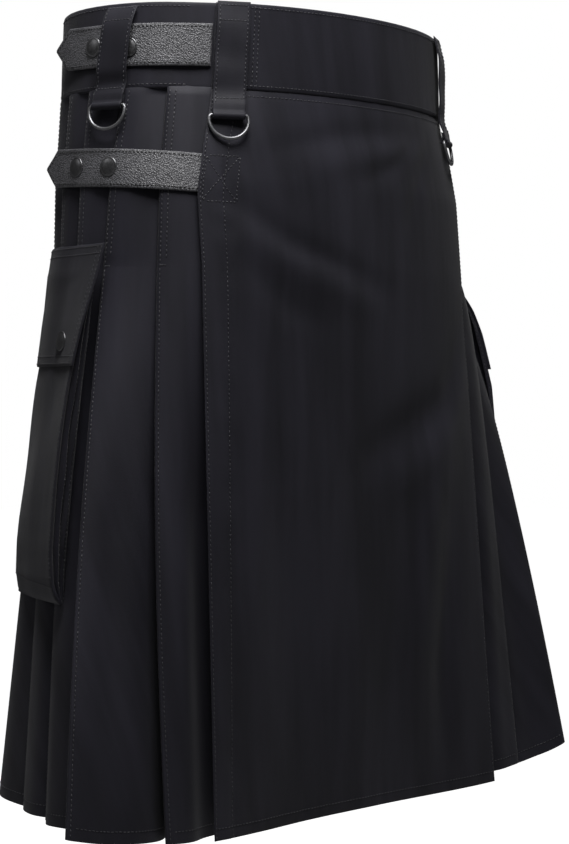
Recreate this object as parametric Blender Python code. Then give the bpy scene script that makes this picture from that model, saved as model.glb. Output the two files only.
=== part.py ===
"""Utility kilt: pleated skirt wall, flat wrap-over apron, band, straps, loops, rings, side pockets.

Metres, +Z up. The wearer faces -Y and +X is the wearer's left.
The origin is the centre of the waistband at mid-height.
Angles run round the body from the centre front, negative towards the wearer's right.
Offsets are measured outwards from the body line, so a negative one lies nearer the wearer.
"""
import bpy
import math
import numpy as np

# Driving sizes
BAND_HEIGHT = 0.0636
BAND_THICK = 0.0024
CLOTH = 0.0012
SEAM_GAP = 0.0004
FULL_LENGTH = 0.6054
TACK_Z = -0.162
LEATHER = 0.0020
STRAP_HEIGHT_WAIST = 0.0315
STRAP_HEIGHT_HIP = 0.0285
LOOP_WIDTH = 0.0250
LOOP_CLOTH = 0.0014
RING_WIDTH = 0.0325
RING_DROP = 0.0190
RING_WIRE = 0.0013
CAP_RADIUS = 0.0073
CAP_HEIGHT = 0.0017
POCKET_WIDTH = 0.158
POCKET_TOP_Z = -0.168
FLAP_TOP_Z = -0.146
FLAP_BOTTOM_Z = -0.235
FLAP_THICK = 0.0018
POCKET_FOOT = 0.0016

BAND_TOP = BAND_HEIGHT / 2
BAND_BOTTOM = -BAND_HEIGHT / 2
SEAM_Z = BAND_BOTTOM - SEAM_GAP
FALL = FULL_LENGTH - BAND_HEIGHT / 2 + TACK_Z

# Body line: height, half width, front depth, back depth, squareness of the front
BODY_LINE = (
    (0.0318, 0.1753, 0.1167, 0.1167, 2.05),
    (-0.0318, 0.1795, 0.1145, 0.1150, 2.08),
    (-0.1000, 0.1870, 0.1175, 0.1120, 2.40),
    (-0.1620, 0.1910, 0.1180, 0.1100, 2.55),
)
BACK_SQUARENESS = 2.05

# Pleats from the apron to the centre back.
# name, edge angle at the band, edge angle at the tack, underlap in degrees,
# hem edge x and y, hem tuck x and y, bulge of the panel at the hem, backward bow, hem lift
PLEATS = (
    ("a", -59.3, -58.8, 6.5, 0.2030, -0.1080, 0.1280, -0.0890, 0.004, 1.0, 0.000),
    ("b", -75.0, -78.1, 6.5, 0.2780, -0.0870, 0.1600, -0.0660, 0.016, 1.0, 0.000),
    ("c", -90.5, -92.0, 6.5, 0.2260, -0.0040, 0.2300, -0.0520, 0.008, 0.6, 0.006),
    ("d", -104.0, -105.0, 6.0, 0.2065, 0.0440, 0.2110, -0.0120, 0.008, 0.3, 0.008),
    ("e", -118.5, -119.5, 5.0, 0.1760, 0.1060, 0.1950, 0.0300, 0.013, 0.0, 0.008),
    ("f", -132.5, -133.0, 4.5, 0.1460, 0.1310, 0.1756, 0.0867, 0.007, 0.0, 0.007),
    ("g", -146.0, -146.5, 4.0, 0.1080, 0.1490, 0.1509, 0.1131, 0.006, 0.0, 0.006),
    ("h", -160.0, -160.0, 4.0, 0.0660, 0.1610, 0.1156, 0.1322, 0.006, 0.0, 0.006),
    ("i", -178.4, -178.4, 4.0, 0.0060, 0.1660, 0.0768, 0.1460, 0.005, 0.0, 0.006),
)
# On the wearer's left: hem edges and bulges that differ, and how early each pleat flares
LEFT_HEM_EDGES = {"a": (0.2150, -0.0990, 0.004), "b": (0.2800, -0.1000, 0.003)}
LEFT_FLARE = {"a": 0.58, "b": 0.58, "c": 0.60, "d": 0.75, "e": 0.90}
LEFT_HEM_LIFT = {"a": 0.004}
PLEAT_START = -41.0
LAYER_STEP = 0.0019
TUCK_DEPTH = 0.0042
FRONT_TUCK = 0.0030
HEM_FOLD = 0.0024
BOW = (0.0020, 0.0042)
UPPER_LEVELS = (SEAM_Z, -0.072, -0.116, TACK_Z)
LOWER_STEPS = (0.02, 0.07, 0.15, 0.28, 0.44, 0.62, 0.81, 1.0)

# Apron: fraction of the width from the wearer's right edge, hem x and y
APRON_HEM = (
    (0.00, -0.1650, -0.1157),
    (0.12, -0.1256, -0.1130),
    (0.50, -0.0010, -0.1075),
    (0.88, 0.1236, -0.1120),
    (1.00, 0.1630, -0.1137),
)
# Apron edges: height, angle of the right edge, angle of the left edge
APRON_EDGES = (
    (-0.0322, -46.3, 46.5),
    (-0.0760, -47.9, 47.0),
    (-0.1100, -48.7, 46.8),
    (-0.1620, -47.0, 46.0),
)
APRON_COLUMNS = (0.0, 0.04, 0.10, 0.18, 0.28, 0.39, 0.50, 0.61, 0.72, 0.82, 0.90, 0.96, 1.0)

# Inner apron: fraction of the width, hem x and y
UNDER_HEM = (
    (0.00, -0.1262, -0.0885),
    (0.25, -0.0650, -0.0985),
    (0.50, 0.0000, -0.1010),
    (0.75, 0.0600, -0.1010),
    (1.00, 0.1120, -0.0995),
)
UNDER_COLUMNS = (0.0, 0.1, 0.22, 0.36, 0.5, 0.64, 0.78, 0.9, 1.0)

POCKET_COLUMNS = (0.0, 0.07, 0.20, 0.34, 0.48, 0.62, 0.76, 0.90, 1.0)

# Side pocket: share of the width, depth of the face off the pleats
POCKET_DEPTHS = ((0.0, 0.0150), (0.3, 0.0120), (0.6, 0.0080), (1.0, 0.0075))
# Height, share of the full depth on the wearer's right and left, place of the front edge
# measured from the edge of pleat c on the right and left
POCKET_ROWS = (
    (-0.146, 0.15, 0.15, -0.0300, -0.0380),
    (-0.168, 0.22, 0.22, -0.0305, -0.0480),
    (-0.185, 0.42, 0.36, -0.0308, -0.0540),
    (-0.205, 0.66, 0.52, -0.0310, -0.0580),
    (-0.250, 0.93, 0.62, -0.0300, -0.0640),
    (-0.285, 1.00, 0.44, -0.0280, -0.0650),
    (-0.320, 0.98, 0.34, -0.0260, -0.0650),
    (-0.368, 0.88, 0.32, -0.0225, -0.0640),
    (-0.392, 0.70, 0.30, -0.0210, -0.0630),
    (-0.403, 0.38, 0.26, -0.0202, -0.0625),
    (-0.407, 0.16, 0.16, -0.0200, -0.0620),
)

# Belt loops with rings: name, angle at the top, angle at the foot, swell over the strap, top height
RINGED_LOOPS = (
    ("front_right", -41.4, -41.8, 0.0022, 0.0325),
    ("side_right", -76.0, -79.4, 0.0060, 0.0290),
    ("front_left", 41.4, 41.8, 0.0050, 0.0325),
    ("side_left", 76.0, 79.4, 0.0040, 0.0290),
)
RING_HEIGHTS = {"front_right": -0.0520, "side_right": -0.0440, "front_left": -0.0520, "side_left": -0.0440}
RING_OFFSETS = {"front_right": 0.0047, "side_right": 0.0042, "front_left": 0.0047, "side_left": 0.0042}

CLOTH_COLOUR = (0.0135, 0.0138, 0.0160, 1.0)
LEATHER_COLOUR = (0.040, 0.040, 0.043, 1.0)
CAP_COLOUR = (0.050, 0.050, 0.054, 1.0)
RING_COLOUR = (0.110, 0.110, 0.115, 1.0)


# Plan of the body line
def body_sizes(z):
    """Half width, front depth, back depth and squareness at one height."""
    rows = np.array(BODY_LINE)
    return [float(np.interp(-z, -rows[:, 0], rows[:, k])) for k in range(1, 5)]


def body_plan(angle, z):
    """Point of the body line in plan."""
    half, front, back, square = body_sizes(z)
    s = math.sin(math.radians(angle))
    c = math.cos(math.radians(angle))
    power = square if c > 0 else BACK_SQUARENESS
    depth = front if c > 0 else back
    reach = (abs(s) ** power + abs(c) ** power) ** (-1.0 / power)
    return np.array([half * s * reach, -depth * c * reach])


def body_normal(angle, z):
    """Outward direction of the body line in plan."""
    ahead = body_plan(angle + 0.6, z) - body_plan(angle - 0.6, z)
    ahead /= np.linalg.norm(ahead)
    return np.array([ahead[1], -ahead[0]])


def on_body(angle, z, offset):
    """Plan point moved out from the body line."""
    return body_plan(angle, z) + body_normal(angle, z) * offset


def body_point(angle, z, offset):
    """Space point moved out from the body line."""
    p = on_body(angle, z, offset)
    return np.array([p[0], p[1], z])


# Mesh helpers
def make_object(name, points, faces, material, smooth=True):
    """Closed mesh object facing outwards."""
    points = [tuple(float(v) for v in p) for p in points]
    total = 0.0
    for face in faces:
        a = np.array(points[face[0]])
        for k in range(1, len(face) - 1):
            b = np.array(points[face[k]])
            c = np.array(points[face[k + 1]])
            total += float(np.dot(a, np.cross(b, c)))
    if total < 0:
        faces = [tuple(reversed(face)) for face in faces]
    mesh = bpy.data.meshes.new(name)
    mesh.from_pydata(points, [], faces)
    mesh.materials.append(material)
    mesh.update()
    if smooth:
        mesh.shade_smooth()
        mesh.set_sharp_from_angle(angle=math.radians(38))
    item = bpy.data.objects.new(name, mesh)
    PART.objects.link(item)
    return item


def offset_line(line, distance):
    """Plan polyline moved sideways by a distance, with mitred corners."""
    line = np.asarray(line, dtype=float)
    ahead = np.diff(line, axis=0)
    ahead /= np.linalg.norm(ahead, axis=1)[:, None]
    sides = np.stack([ahead[:, 1], -ahead[:, 0]], axis=1)
    moved = []
    for k in range(len(line)):
        before = sides[max(k - 1, 0)]
        after = sides[min(k, len(sides) - 1)]
        mean = before + after
        mean /= np.linalg.norm(mean)
        stretch = 1.0 / max(float(np.dot(mean, after)), 0.45)
        moved.append(line[k] + mean * distance * stretch)
    return np.array(moved)


def wall(name, levels, thick, material):
    """Cloth wall lofted through levels, both faces split along the same diagonals."""
    points = []
    count = len(levels[0][0])
    for line, heights in levels:
        outer = offset_line(line, thick / 2)
        inner = offset_line(line, -thick / 2)
        for k in range(count):
            points.append((outer[k][0], outer[k][1], heights[k]))
        for k in reversed(range(count)):
            points.append((inner[k][0], inner[k][1], heights[k]))
    ring = 2 * count
    faces = []
    for level in range(len(levels) - 1):
        a = level * ring
        b = a + ring
        for k in range(count - 1):
            faces.append((a + k, a + k + 1, b + k + 1))
            faces.append((a + k, b + k + 1, b + k))
            m = ring - 1 - k
            faces.append((a + m - 1, a + m, b + m - 1))
            faces.append((a + m, b + m, b + m - 1))
        faces.append((a + count - 1, a + count, b + count, b + count - 1))
        faces.append((a + ring - 1, a, b, b + ring - 1))
    last = (len(levels) - 1) * ring
    for k in range(count - 1):
        faces.append((k, ring - 1 - k, ring - 2 - k, k + 1))
        faces.append((last + k, last + k + 1, last + ring - 2 - k, last + ring - 1 - k))
    return make_object(name, points, faces, material)


def sweep(name, rings, material, closed=False, smooth=True):
    """Tube through rings of points, capped at its ends unless closed."""
    size = len(rings[0])
    points = [p for ring in rings for p in ring]
    faces = []
    spans = len(rings) if closed else len(rings) - 1
    for r in range(spans):
        a = r * size
        b = ((r + 1) % len(rings)) * size
        for k in range(size):
            n = (k + 1) % size
            faces.append((a + k, a + n, b + n, b + k))
    if not closed:
        end = (len(rings) - 1) * size
        faces.append(tuple(reversed(range(size))))
        faces.append(tuple(range(end, end + size)))
    return make_object(name, points, faces, material, smooth)


# Pleats
def upper_pleat_line(z):
    """Wearer's right pleats between the band and the tacks, stitched down in layers."""
    f = (SEAM_Z - z) / (SEAM_Z - TACK_Z)
    line = []
    before = None
    outer = CLOTH / 2
    for k, (name, top, low, lap) in enumerate(row[:4] for row in PLEATS):
        edge = top + (low - top) * f
        tuck = outer + TUCK_DEPTH
        if before is None:
            start = PLEAT_START
            shown = edge + 0.86 * (start - edge)
            line.append(on_body(start, z, -outer - FRONT_TUCK))
            line.append(on_body(shown, z, -outer - FRONT_TUCK * 0.97))
        else:
            start = before + lap
            shown = before
            line.append(on_body(start, z, -tuck))
            line.append(on_body(shown, z, -tuck + 0.0001))
        depth = FRONT_TUCK if before is None else TUCK_DEPTH
        back_lap = PLEATS[k + 1][3] if k + 1 < len(PLEATS) else 10.6
        free = 1 - back_lap / (shown - edge) - 0.03
        for share, sink in ((free * 0.5, 0.50), (free, 0.0)):
            line.append(on_body(shown + (edge - shown) * share, z, -outer - depth * sink))
        line.append(on_body(edge + 0.45, z, -outer))
        line.append(on_body(edge, z, -outer - LAYER_STEP / 2))
        line.append(on_body(edge + 0.45, z, -outer - LAYER_STEP))
        if k + 1 < len(PLEATS):
            lap = PLEATS[k + 1][3]
            line.append(on_body(edge + lap * 0.5, z, -outer - LAYER_STEP))
            line.append(on_body(edge + lap, z, -outer - LAYER_STEP))
        before = edge
    line.append(on_body(-172.0, z, -outer - LAYER_STEP))
    line.append(on_body(-168.0, z, -outer - LAYER_STEP))
    line.append(on_body(-168.0, z, -outer - TUCK_DEPTH))
    line.append(on_body(-174.0, z, -outer - TUCK_DEPTH))
    last = on_body(-179.0, z, -outer - TUCK_DEPTH)
    line.append(np.array([-0.0003, last[1]]))
    return np.array(line)


def hem_pleat_line(edges):
    """The same points of the pleats at the hem."""
    rows = []
    for name, _, _, _, ex, ey, tx, ty, bulge, _, _ in PLEATS:
        ex, ey, bulge = edges.get(name, (ex, ey, bulge))
        rows.append((np.array([-ex, ey]), np.array([-tx, ty]), bulge))
    line = []
    for k, (edge, tuck, bulge) in enumerate(rows):
        chord = edge - tuck
        along = chord / np.linalg.norm(chord)
        out = np.array([-along[1], along[0]])
        if np.dot(out, edge + np.array([0.0, 0.02])) < 0:
            out = -out
        out = -np.array([along[1], -along[0]])
        if k == 0:
            line.append(tuck)
        else:
            line.append(tuck - out * HEM_FOLD / 2)
        for share in (0.22, 0.52, 0.80):
            rise = 4 * share * (1 - share) * bulge
            line.append(tuck + chord * share + out * rise)
        line.append(edge - along * 0.0012)
        line.append(edge - out * HEM_FOLD / 2)
        line.append(edge - along * 0.0012 - out * HEM_FOLD)
        if k + 1 < len(rows):
            after_edge, after_tuck, _ = rows[k + 1]
            after = after_edge - after_tuck
            after /= np.linalg.norm(after)
            after_out = -np.array([after[1], -after[0]])
            corner = after_tuck + after_out * HEM_FOLD / 2
            line.append((line[-1] + corner) / 2)
            line.append(corner)
    start = line[-1]
    fold = np.array([-0.0400, 0.1545])
    line.append((start + fold) / 2)
    line.append(fold)
    line.append(fold + np.array([0.0, -HEM_FOLD]))
    line.append(np.array([-0.0200, 0.1521]))
    line.append(np.array([-0.0003, 0.1521]))
    return np.array(line)


def per_point(values):
    """One value for each point of the pleat line, shared by both layers at every inner fold."""
    spread = []
    for k, value in enumerate(values):
        spread += [value] * 7
        if k + 1 < len(values):
            spread += [(value + values[k + 1]) / 2, values[k + 1]]
    spread += [values[-1]] * 5
    return np.array(spread)


def fallen(upper, lower, share, bow=0.0, lift=0.0, flare=1.0):
    """Level between the tacks and the hem on falls of constant cloth length."""
    move = lower - upper
    drop = np.sqrt(FALL ** 2 - (move ** 2).sum(axis=1)) - lift
    move_share = np.power(share, np.zeros(len(upper)) + flare)
    line = upper + move * move_share[:, None]
    lean = math.sin(math.pi * share) * (np.zeros(len(upper)) + bow)
    line = line + lean[:, None] * np.array([-BOW[0], BOW[1]])
    return line, TACK_Z - drop * share


def pleat_levels(edges, flares, lifts):
    """All levels of one pleated wall on the wearer's right."""
    levels = []
    for z in UPPER_LEVELS:
        line = upper_pleat_line(z)
        levels.append((line, np.full(len(line), z)))
    upper = levels[-1][0]
    lower = hem_pleat_line(edges)
    bow = per_point([row[9] for row in PLEATS])
    lift = per_point([lifts.get(row[0], row[10]) for row in PLEATS])
    flare = per_point([flares.get(row[0], 1.0) for row in PLEATS])
    for share in LOWER_STEPS:
        levels.append(fallen(upper, lower, share, bow, lift, flare))
    return levels


def mirrored(levels):
    """The same levels on the wearer's left."""
    return [(line * np.array([-1.0, 1.0]), heights) for line, heights in levels]


def build_pleats(material):
    wall("pleats_right", pleat_levels({}, {}, {}), CLOTH, material)
    wall("pleats_left", mirrored(pleat_levels(LEFT_HEM_EDGES, LEFT_FLARE, LEFT_HEM_LIFT)), CLOTH, material)


# Aprons
def apron_edges(z):
    rows = np.array(APRON_EDGES)
    right = float(np.interp(-z, -rows[:, 0], rows[:, 1]))
    left = float(np.interp(-z, -rows[:, 0], rows[:, 2]))
    return right, left


def apron_lift(z, share):
    """How far the apron stands off the body line, most at its right edge over the strap."""
    down = min(max((SEAM_Z - z) / 0.040, 0.0), 1.0)
    down = down * down * (3 - 2 * down)
    right = max(0.0, 1 - share / 0.22) ** 1.5
    left = max(0.0, 1 - (1 - share) / 0.20) ** 1.5
    return -0.0006 - CLOTH / 2 + down * (0.0036 * right + 0.0026 * left + 0.0006)


def build_apron(material):
    levels = []
    for z in UPPER_LEVELS:
        right, left = apron_edges(z)
        line = [on_body(right + (left - right) * q, z, apron_lift(z, q)) for q in APRON_COLUMNS]
        levels.append((np.array(line), np.full(len(line), z)))
    rows = np.array(APRON_HEM)
    lower = np.stack([np.interp(APRON_COLUMNS, rows[:, 0], rows[:, k]) for k in (1, 2)], axis=1)
    upper = levels[-1][0]
    for share in LOWER_STEPS:
        levels.append(fallen(upper, lower, share))
    levels = [(line[::-1], heights[::-1]) for line, heights in levels]
    wall("apron", levels, CLOTH, material)


def build_under_apron(material):
    levels = []
    for z in UPPER_LEVELS:
        line = []
        for q in UNDER_COLUMNS:
            angle = PLEAT_START + 0.55 + (35.0 - PLEAT_START) * q
            line.append(on_body(angle, z, -CLOTH / 2 - FRONT_TUCK - 0.0004 * math.sin(math.pi * q)))
        levels.append((np.array(line), np.full(len(line), z)))
    rows = np.array(UNDER_HEM)
    lower = np.stack([np.interp(UNDER_COLUMNS, rows[:, 0], rows[:, k]) for k in (1, 2)], axis=1)
    upper = levels[-1][0]
    for share in LOWER_STEPS:
        levels.append(fallen(upper, lower, share))
    levels = [(line[::-1], heights[::-1]) for line, heights in levels]
    wall("under_apron", levels, CLOTH, material)


# Waistband, one strip that passes under its own front end
def band_stations():
    """Angle and offset of the middle of the band from its outer end to its inner end."""
    first = list(np.linspace(-46.3, 46.3, 19))
    round_back = list(np.linspace(46.3, 294.0, 42))[1:]
    step_in = [299.0, 304.0, 309.0, 313.0]
    inner = list(np.linspace(320.0, 397.0, 14))
    stations = []
    for angle in first + round_back + step_in + inner:
        sink = float(np.interp(angle, [294.0, 299.0, 304.0, 309.0], [0.0, 0.0009, 0.0023, 0.0032]))
        stations.append((angle, -BAND_THICK / 2 - sink))
    return stations


def build_waistband(material):
    rings = []
    for angle, offset in band_stations():
        ring = []
        for side, z in ((1, BAND_TOP), (1, 0.0), (1, BAND_BOTTOM), (-1, BAND_BOTTOM), (-1, 0.0), (-1, BAND_TOP)):
            ring.append(body_point(angle, z, offset + side * BAND_THICK / 2))
        rings.append(ring)
    sweep("waistband", rings, material)


# Leather straps
def strap_line(z, first, leave, tail, sink, base):
    """Plan points and outward directions of a strap that leaves the body line at its tip."""
    places = []
    for angle in np.linspace(first, leave, 15):
        share = min(max((angle - sink[0]) / (sink[1] - sink[0]), 0.0), 1.0)
        offset = base + (sink[2] - base) * share
        places.append((on_body(angle, z, offset), body_normal(angle, z)))
    point, normal = places[-1]
    along = np.array([normal[1], -normal[0]])
    for step in np.linspace(0.0, 1.0, 6)[1:]:
        reach = tail * step
        inward = 1.6 * reach * reach
        places.append((point + along * reach - normal * inward, normal))
    return places


def between(lengths, places, length):
    """Place on the strap at one length."""
    p = np.array([np.interp(length, lengths, [s[0][k] for s in places]) for k in (0, 1)])
    n = np.array([np.interp(length, lengths, [s[1][k] for s in places]) for k in (0, 1)])
    return p, n / np.linalg.norm(n)


def build_strap(name, z_mid, z_tip, arch, height, first, leave, tail, sink, base, material):
    """Strap with a pointed tip; its centre line rises to the tip and arches between."""
    mid = strap_line(z_mid, first, leave, tail, sink, base)
    high = strap_line(z_mid + height / 2, first, leave, tail, sink, base)
    low = strap_line(z_mid - height / 2, first, leave, tail, sink, base)
    lengths = [0.0]
    for k in range(1, len(mid)):
        lengths.append(lengths[-1] + float(np.linalg.norm(mid[k][0] - mid[k - 1][0])))
    total = lengths[-1]
    corner = total - height * 0.55
    stations = [length for length in lengths if length < corner - 0.003] + [corner, total]
    rings = []
    for length in stations:
        share = length / total
        middle = z_mid + (z_tip - z_mid) * share ** 1.6 + arch * 4 * share * (1 - share)
        half = height / 2 if length < total else 0.0006
        ring = []
        for side, up in ((0, 1), (1, 1), (1, -1), (0, -1)):
            z = middle + up * half
            aim = min(max((z - z_mid) / (height / 2), -1.2), 1.2)
            centre, normal = between(lengths, mid, length)
            rim, _ = between(lengths, high if aim > 0 else low, length)
            p = centre + (rim - centre) * abs(aim) + normal * LEATHER * side
            ring.append((p[0], p[1], z))
        rings.append(ring)
    sweep(name, rings, material, smooth=False)


def build_straps(material):
    build_strap("waist_strap", 0.0005, 0.0030, -0.0008, STRAP_HEIGHT_WAIST, -46.9, -91.0, 0.0335,
                (-64.0, -49.0, -0.0027), 0.0004, material)
    build_strap("hip_strap", -0.0948, -0.0862, 0.0020, STRAP_HEIGHT_HIP, -47.4, -93.5, 0.0335,
                (-52.5, -47.4, -0.0009), 0.0004, material)


# Press snaps, fastened: low domed caps
def build_cap(name, centre, out, material, slope=0.0):
    """Cap whose foot sits at the centre, facing out in plan and tilted by a slope."""
    out = np.array([out[0], out[1], slope])
    out /= np.linalg.norm(out)
    side = np.cross([0.0, 0.0, 1.0], out)
    side /= np.linalg.norm(side)
    up = np.cross(out, side)
    profile = ((1.0, 0.0), (1.0, 0.30), (0.86, 0.66), (0.50, 0.92))
    rings = []
    for radius, rise in profile:
        ring = []
        for k in range(16):
            turn = 2 * math.pi * k / 16
            spoke = side * math.cos(turn) + up * math.sin(turn)
            ring.append(centre + spoke * CAP_RADIUS * radius + out * CAP_HEIGHT * rise)
        rings.append(ring)
    points = [p for ring in rings for p in ring] + [centre + out * CAP_HEIGHT]
    faces = [tuple(reversed(range(16)))]
    for r in range(3):
        for k in range(16):
            n = (k + 1) % 16
            faces.append((r * 16 + k, r * 16 + n, r * 16 + 16 + n, r * 16 + 16 + k))
    for k in range(16):
        faces.append((48 + k, 48 + (k + 1) % 16, 64))
    make_object(name, points, faces, material)


def build_strap_caps(material):
    lift = 0.0004 + LEATHER + 0.0005
    for name, angle, z in (("waist_strap_cap_rear", -87.7, 0.0008), ("waist_strap_cap_front", -71.1, -0.0014),
                           ("hip_strap_cap_rear", -92.3, -0.0876), ("hip_strap_cap_front", -76.8, -0.0892)):
        place = on_body(angle, z, lift)
        build_cap(name, np.array([place[0], place[1], z]), body_normal(angle, z), material, 0.06)


# Pockets
def pleat_edge_plan(index, z, side, flares):
    """Outer edge of one pleat at a height, drawn on the wearer's right."""
    row = PLEATS[index]
    if z >= TACK_Z:
        f = (SEAM_Z - z) / (SEAM_Z - TACK_Z)
        return on_body(row[1] + (row[2] - row[1]) * f, z, 0.0)
    share = min((TACK_Z - z) / 0.404, 1.0)
    high = on_body(row[2], TACK_Z, 0.0)
    low = np.array([-row[4], row[5]])
    if side == "left" and row[0] in LEFT_HEM_EDGES:
        low = np.array([-LEFT_HEM_EDGES[row[0]][0], LEFT_HEM_EDGES[row[0]][1]])
    lean = math.sin(math.pi * share) * row[9]
    return high + (low - high) * share ** flares.get(row[0], 1.0) + lean * np.array([-BOW[0], BOW[1]])


def pocket_base(z, side):
    """Smooth plan curve over the pleat edges and its running length from pleat c."""
    first = 2 if side == "right" else 1
    flares = {} if side == "right" else LEFT_FLARE
    knots = [pleat_edge_plan(k, z, side, flares) for k in range(first, 9)]
    ahead = knots[0] * 2.1 - knots[1] * 1.1
    knots = [ahead * 2 - knots[0], ahead] + knots
    dense = []
    for k in range(1, len(knots) - 2):
        p0, p1, p2, p3 = knots[k - 1:k + 3]
        for t in np.linspace(0, 1, 13)[:-1]:
            a = 2 * p1 + (p2 - p0) * t + (2 * p0 - 5 * p1 + 4 * p2 - p3) * t * t
            dense.append(0.5 * (a + (3 * p1 - p0 - 3 * p2 + p3) * t ** 3))
    dense = np.array(dense)
    steps = np.linalg.norm(np.diff(dense, axis=0), axis=1)
    length = np.concatenate([[0.0], np.cumsum(steps)])
    return dense, length - length[12 * (3 - first)]


def pocket_place(z, along, offset, side):
    """Plan point over the pocket base curve."""
    dense, length = pocket_base(z, side)
    p = np.array([np.interp(along, length, dense[:, k]) for k in (0, 1)])
    a = np.array([np.interp(along - 0.006, length, dense[:, k]) for k in (0, 1)])
    b = np.array([np.interp(along + 0.006, length, dense[:, k]) for k in (0, 1)])
    ahead = (b - a) / np.linalg.norm(b - a)
    return p + np.array([-ahead[1], ahead[0]]) * offset


def pocket_row(z, side):
    """Share of the full depth and place of the front edge at one height."""
    rows = np.array(POCKET_ROWS)
    k = 0 if side == "right" else 1
    swell = float(np.interp(-z, -rows[:, 0], rows[:, 1 + k]))
    front = float(np.interp(-z, -rows[:, 0], rows[:, 3 + k]))
    return swell, front


def pocket_depth(z, share, side):
    """Middle of the pocket face off the base curve."""
    rows = np.array(POCKET_DEPTHS)
    full = float(np.interp(share, rows[:, 0], rows[:, 1]))
    return max(full * pocket_row(z, side)[0], POCKET_FOOT + 0.0018)


def pocket_section(z, side):
    """Front panel with folded gussets down both sides, open towards the pleats."""
    swell, front = pocket_row(z, side)
    fold = max(0.0, (swell - 0.45) / 0.55)
    leg = pocket_depth(z, 0.0, side) - POCKET_FOOT
    places = [
        (front + 0.003 * fold, POCKET_FOOT),
        (front - 0.002 * fold, POCKET_FOOT + leg * (0.20 + 0.16 * fold)),
        (front + 0.0045 * fold, POCKET_FOOT + leg * (0.40 + 0.26 * fold)),
    ]
    for share in POCKET_COLUMNS:
        places.append((front + POCKET_WIDTH * share, pocket_depth(z, share, side)))
    leg = pocket_depth(z, 1.0, side) - POCKET_FOOT
    rear = front + POCKET_WIDTH
    places.append((rear - 0.004 * fold, POCKET_FOOT + leg * (0.30 + 0.20 * fold)))
    places.append((rear, POCKET_FOOT))
    return np.array([pocket_place(z, along, offset, side) for along, offset in places])


def on_side(side, line):
    """The line as it is on the wearer's right, or mirrored to the left."""
    return line if side == "right" else line * np.array([-1.0, 1.0])


def build_pockets(material):
    for side in ("right", "left"):
        levels = []
        for row in POCKET_ROWS[1:]:
            line = on_side(side, pocket_section(row[0], side))
            levels.append((line[::-1], np.full(len(line), row[0])))
        wall("pocket_" + side, levels, CLOTH, material)


def flap_offset(z, share, side):
    """Middle of the flap off the base curve, sewn down at its top and lying on the pocket."""
    rise = min(max((FLAP_TOP_Z - z) / (FLAP_TOP_Z - POCKET_TOP_Z - 0.001), 0.0), 1.0)
    low = 0.0024
    over = pocket_depth(min(z, POCKET_TOP_Z), share, side) + CLOTH / 2 + FLAP_THICK / 2 + 0.0008
    return low + (over - low) * rise


def build_flaps(material):
    for side in ("right", "left"):
        levels = []
        for z in (FLAP_TOP_Z, -0.157, POCKET_TOP_Z + 0.001, -0.185, -0.205, -0.220, FLAP_BOTTOM_Z):
            front = pocket_row(z, side)[1]
            line = []
            for share in POCKET_COLUMNS:
                along = front + POCKET_WIDTH * share + 0.0025 * ((share == 1.0) - (share == 0.0))
                line.append(pocket_place(z, along, flap_offset(z, share, side), side))
            levels.append((on_side(side, np.array(line))[::-1], np.full(len(line), z)))
        wall("pocket_flap_" + side, levels, FLAP_THICK, material)


def build_flap_caps(material):
    z = -0.2165
    for side in ("right", "left"):
        for name, share in (("front", 0.165), ("rear", 0.835)):
            along = pocket_row(z, side)[1] + POCKET_WIDTH * share
            base = flap_offset(z, share, side) + FLAP_THICK / 2 + 0.0010
            place = pocket_place(z, along, base, side)
            out = pocket_place(z, along, base + 0.01, side) - place
            out /= np.linalg.norm(out)
            above = pocket_place(z + 0.012, along, flap_offset(z + 0.012, share, side), side)
            below = pocket_place(z - 0.012, along, flap_offset(z - 0.012, share, side), side)
            slope = float(np.dot(below - above, out)) / 0.024
            place = on_side(side, place)
            out = on_side(side, out)
            build_cap("flap_cap_" + side + "_" + name, np.array([place[0], place[1], z]), out, material, slope)


# Belt loops and rings
def loop_profile(swell, top_z, ring_z, ring_offset):
    """Offset and height of the middle of the loop cloth, from the rim round the ring bar."""
    turn_radius = RING_WIRE + 0.00045 + LOOP_CLOTH / 2
    side = 0.0010
    stem = math.sqrt(turn_radius ** 2 - side ** 2)
    start = math.atan2(side, stem)
    front = ring_offset + side
    low = 0.0012
    line = [
        (low, top_z), (low + swell * 0.45, 0.0245), (low + swell * 0.90, 0.0165),
        (low + swell, 0.0060), (low + swell * 0.97, -0.0070),
        (low + (front - low) * 0.30 + swell * 0.62, -0.0185),
        (front * 0.55 + low * 0.45, ring_z + 0.0160), (front, ring_z + 0.0075),
    ]
    for k in range(8):
        turn = start + (2 * math.pi - 2 * start) * k / 7
        line.append((ring_offset + turn_radius * math.sin(turn), ring_z + turn_radius * math.cos(turn)))
    line.append((ring_offset - side, ring_z + 0.0075))
    return line


def loop_frame(angle):
    """Across-width direction of a flat loop."""
    normal = body_normal(angle, 0.0)
    return np.array([-normal[1], normal[0], 0.0])


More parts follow.
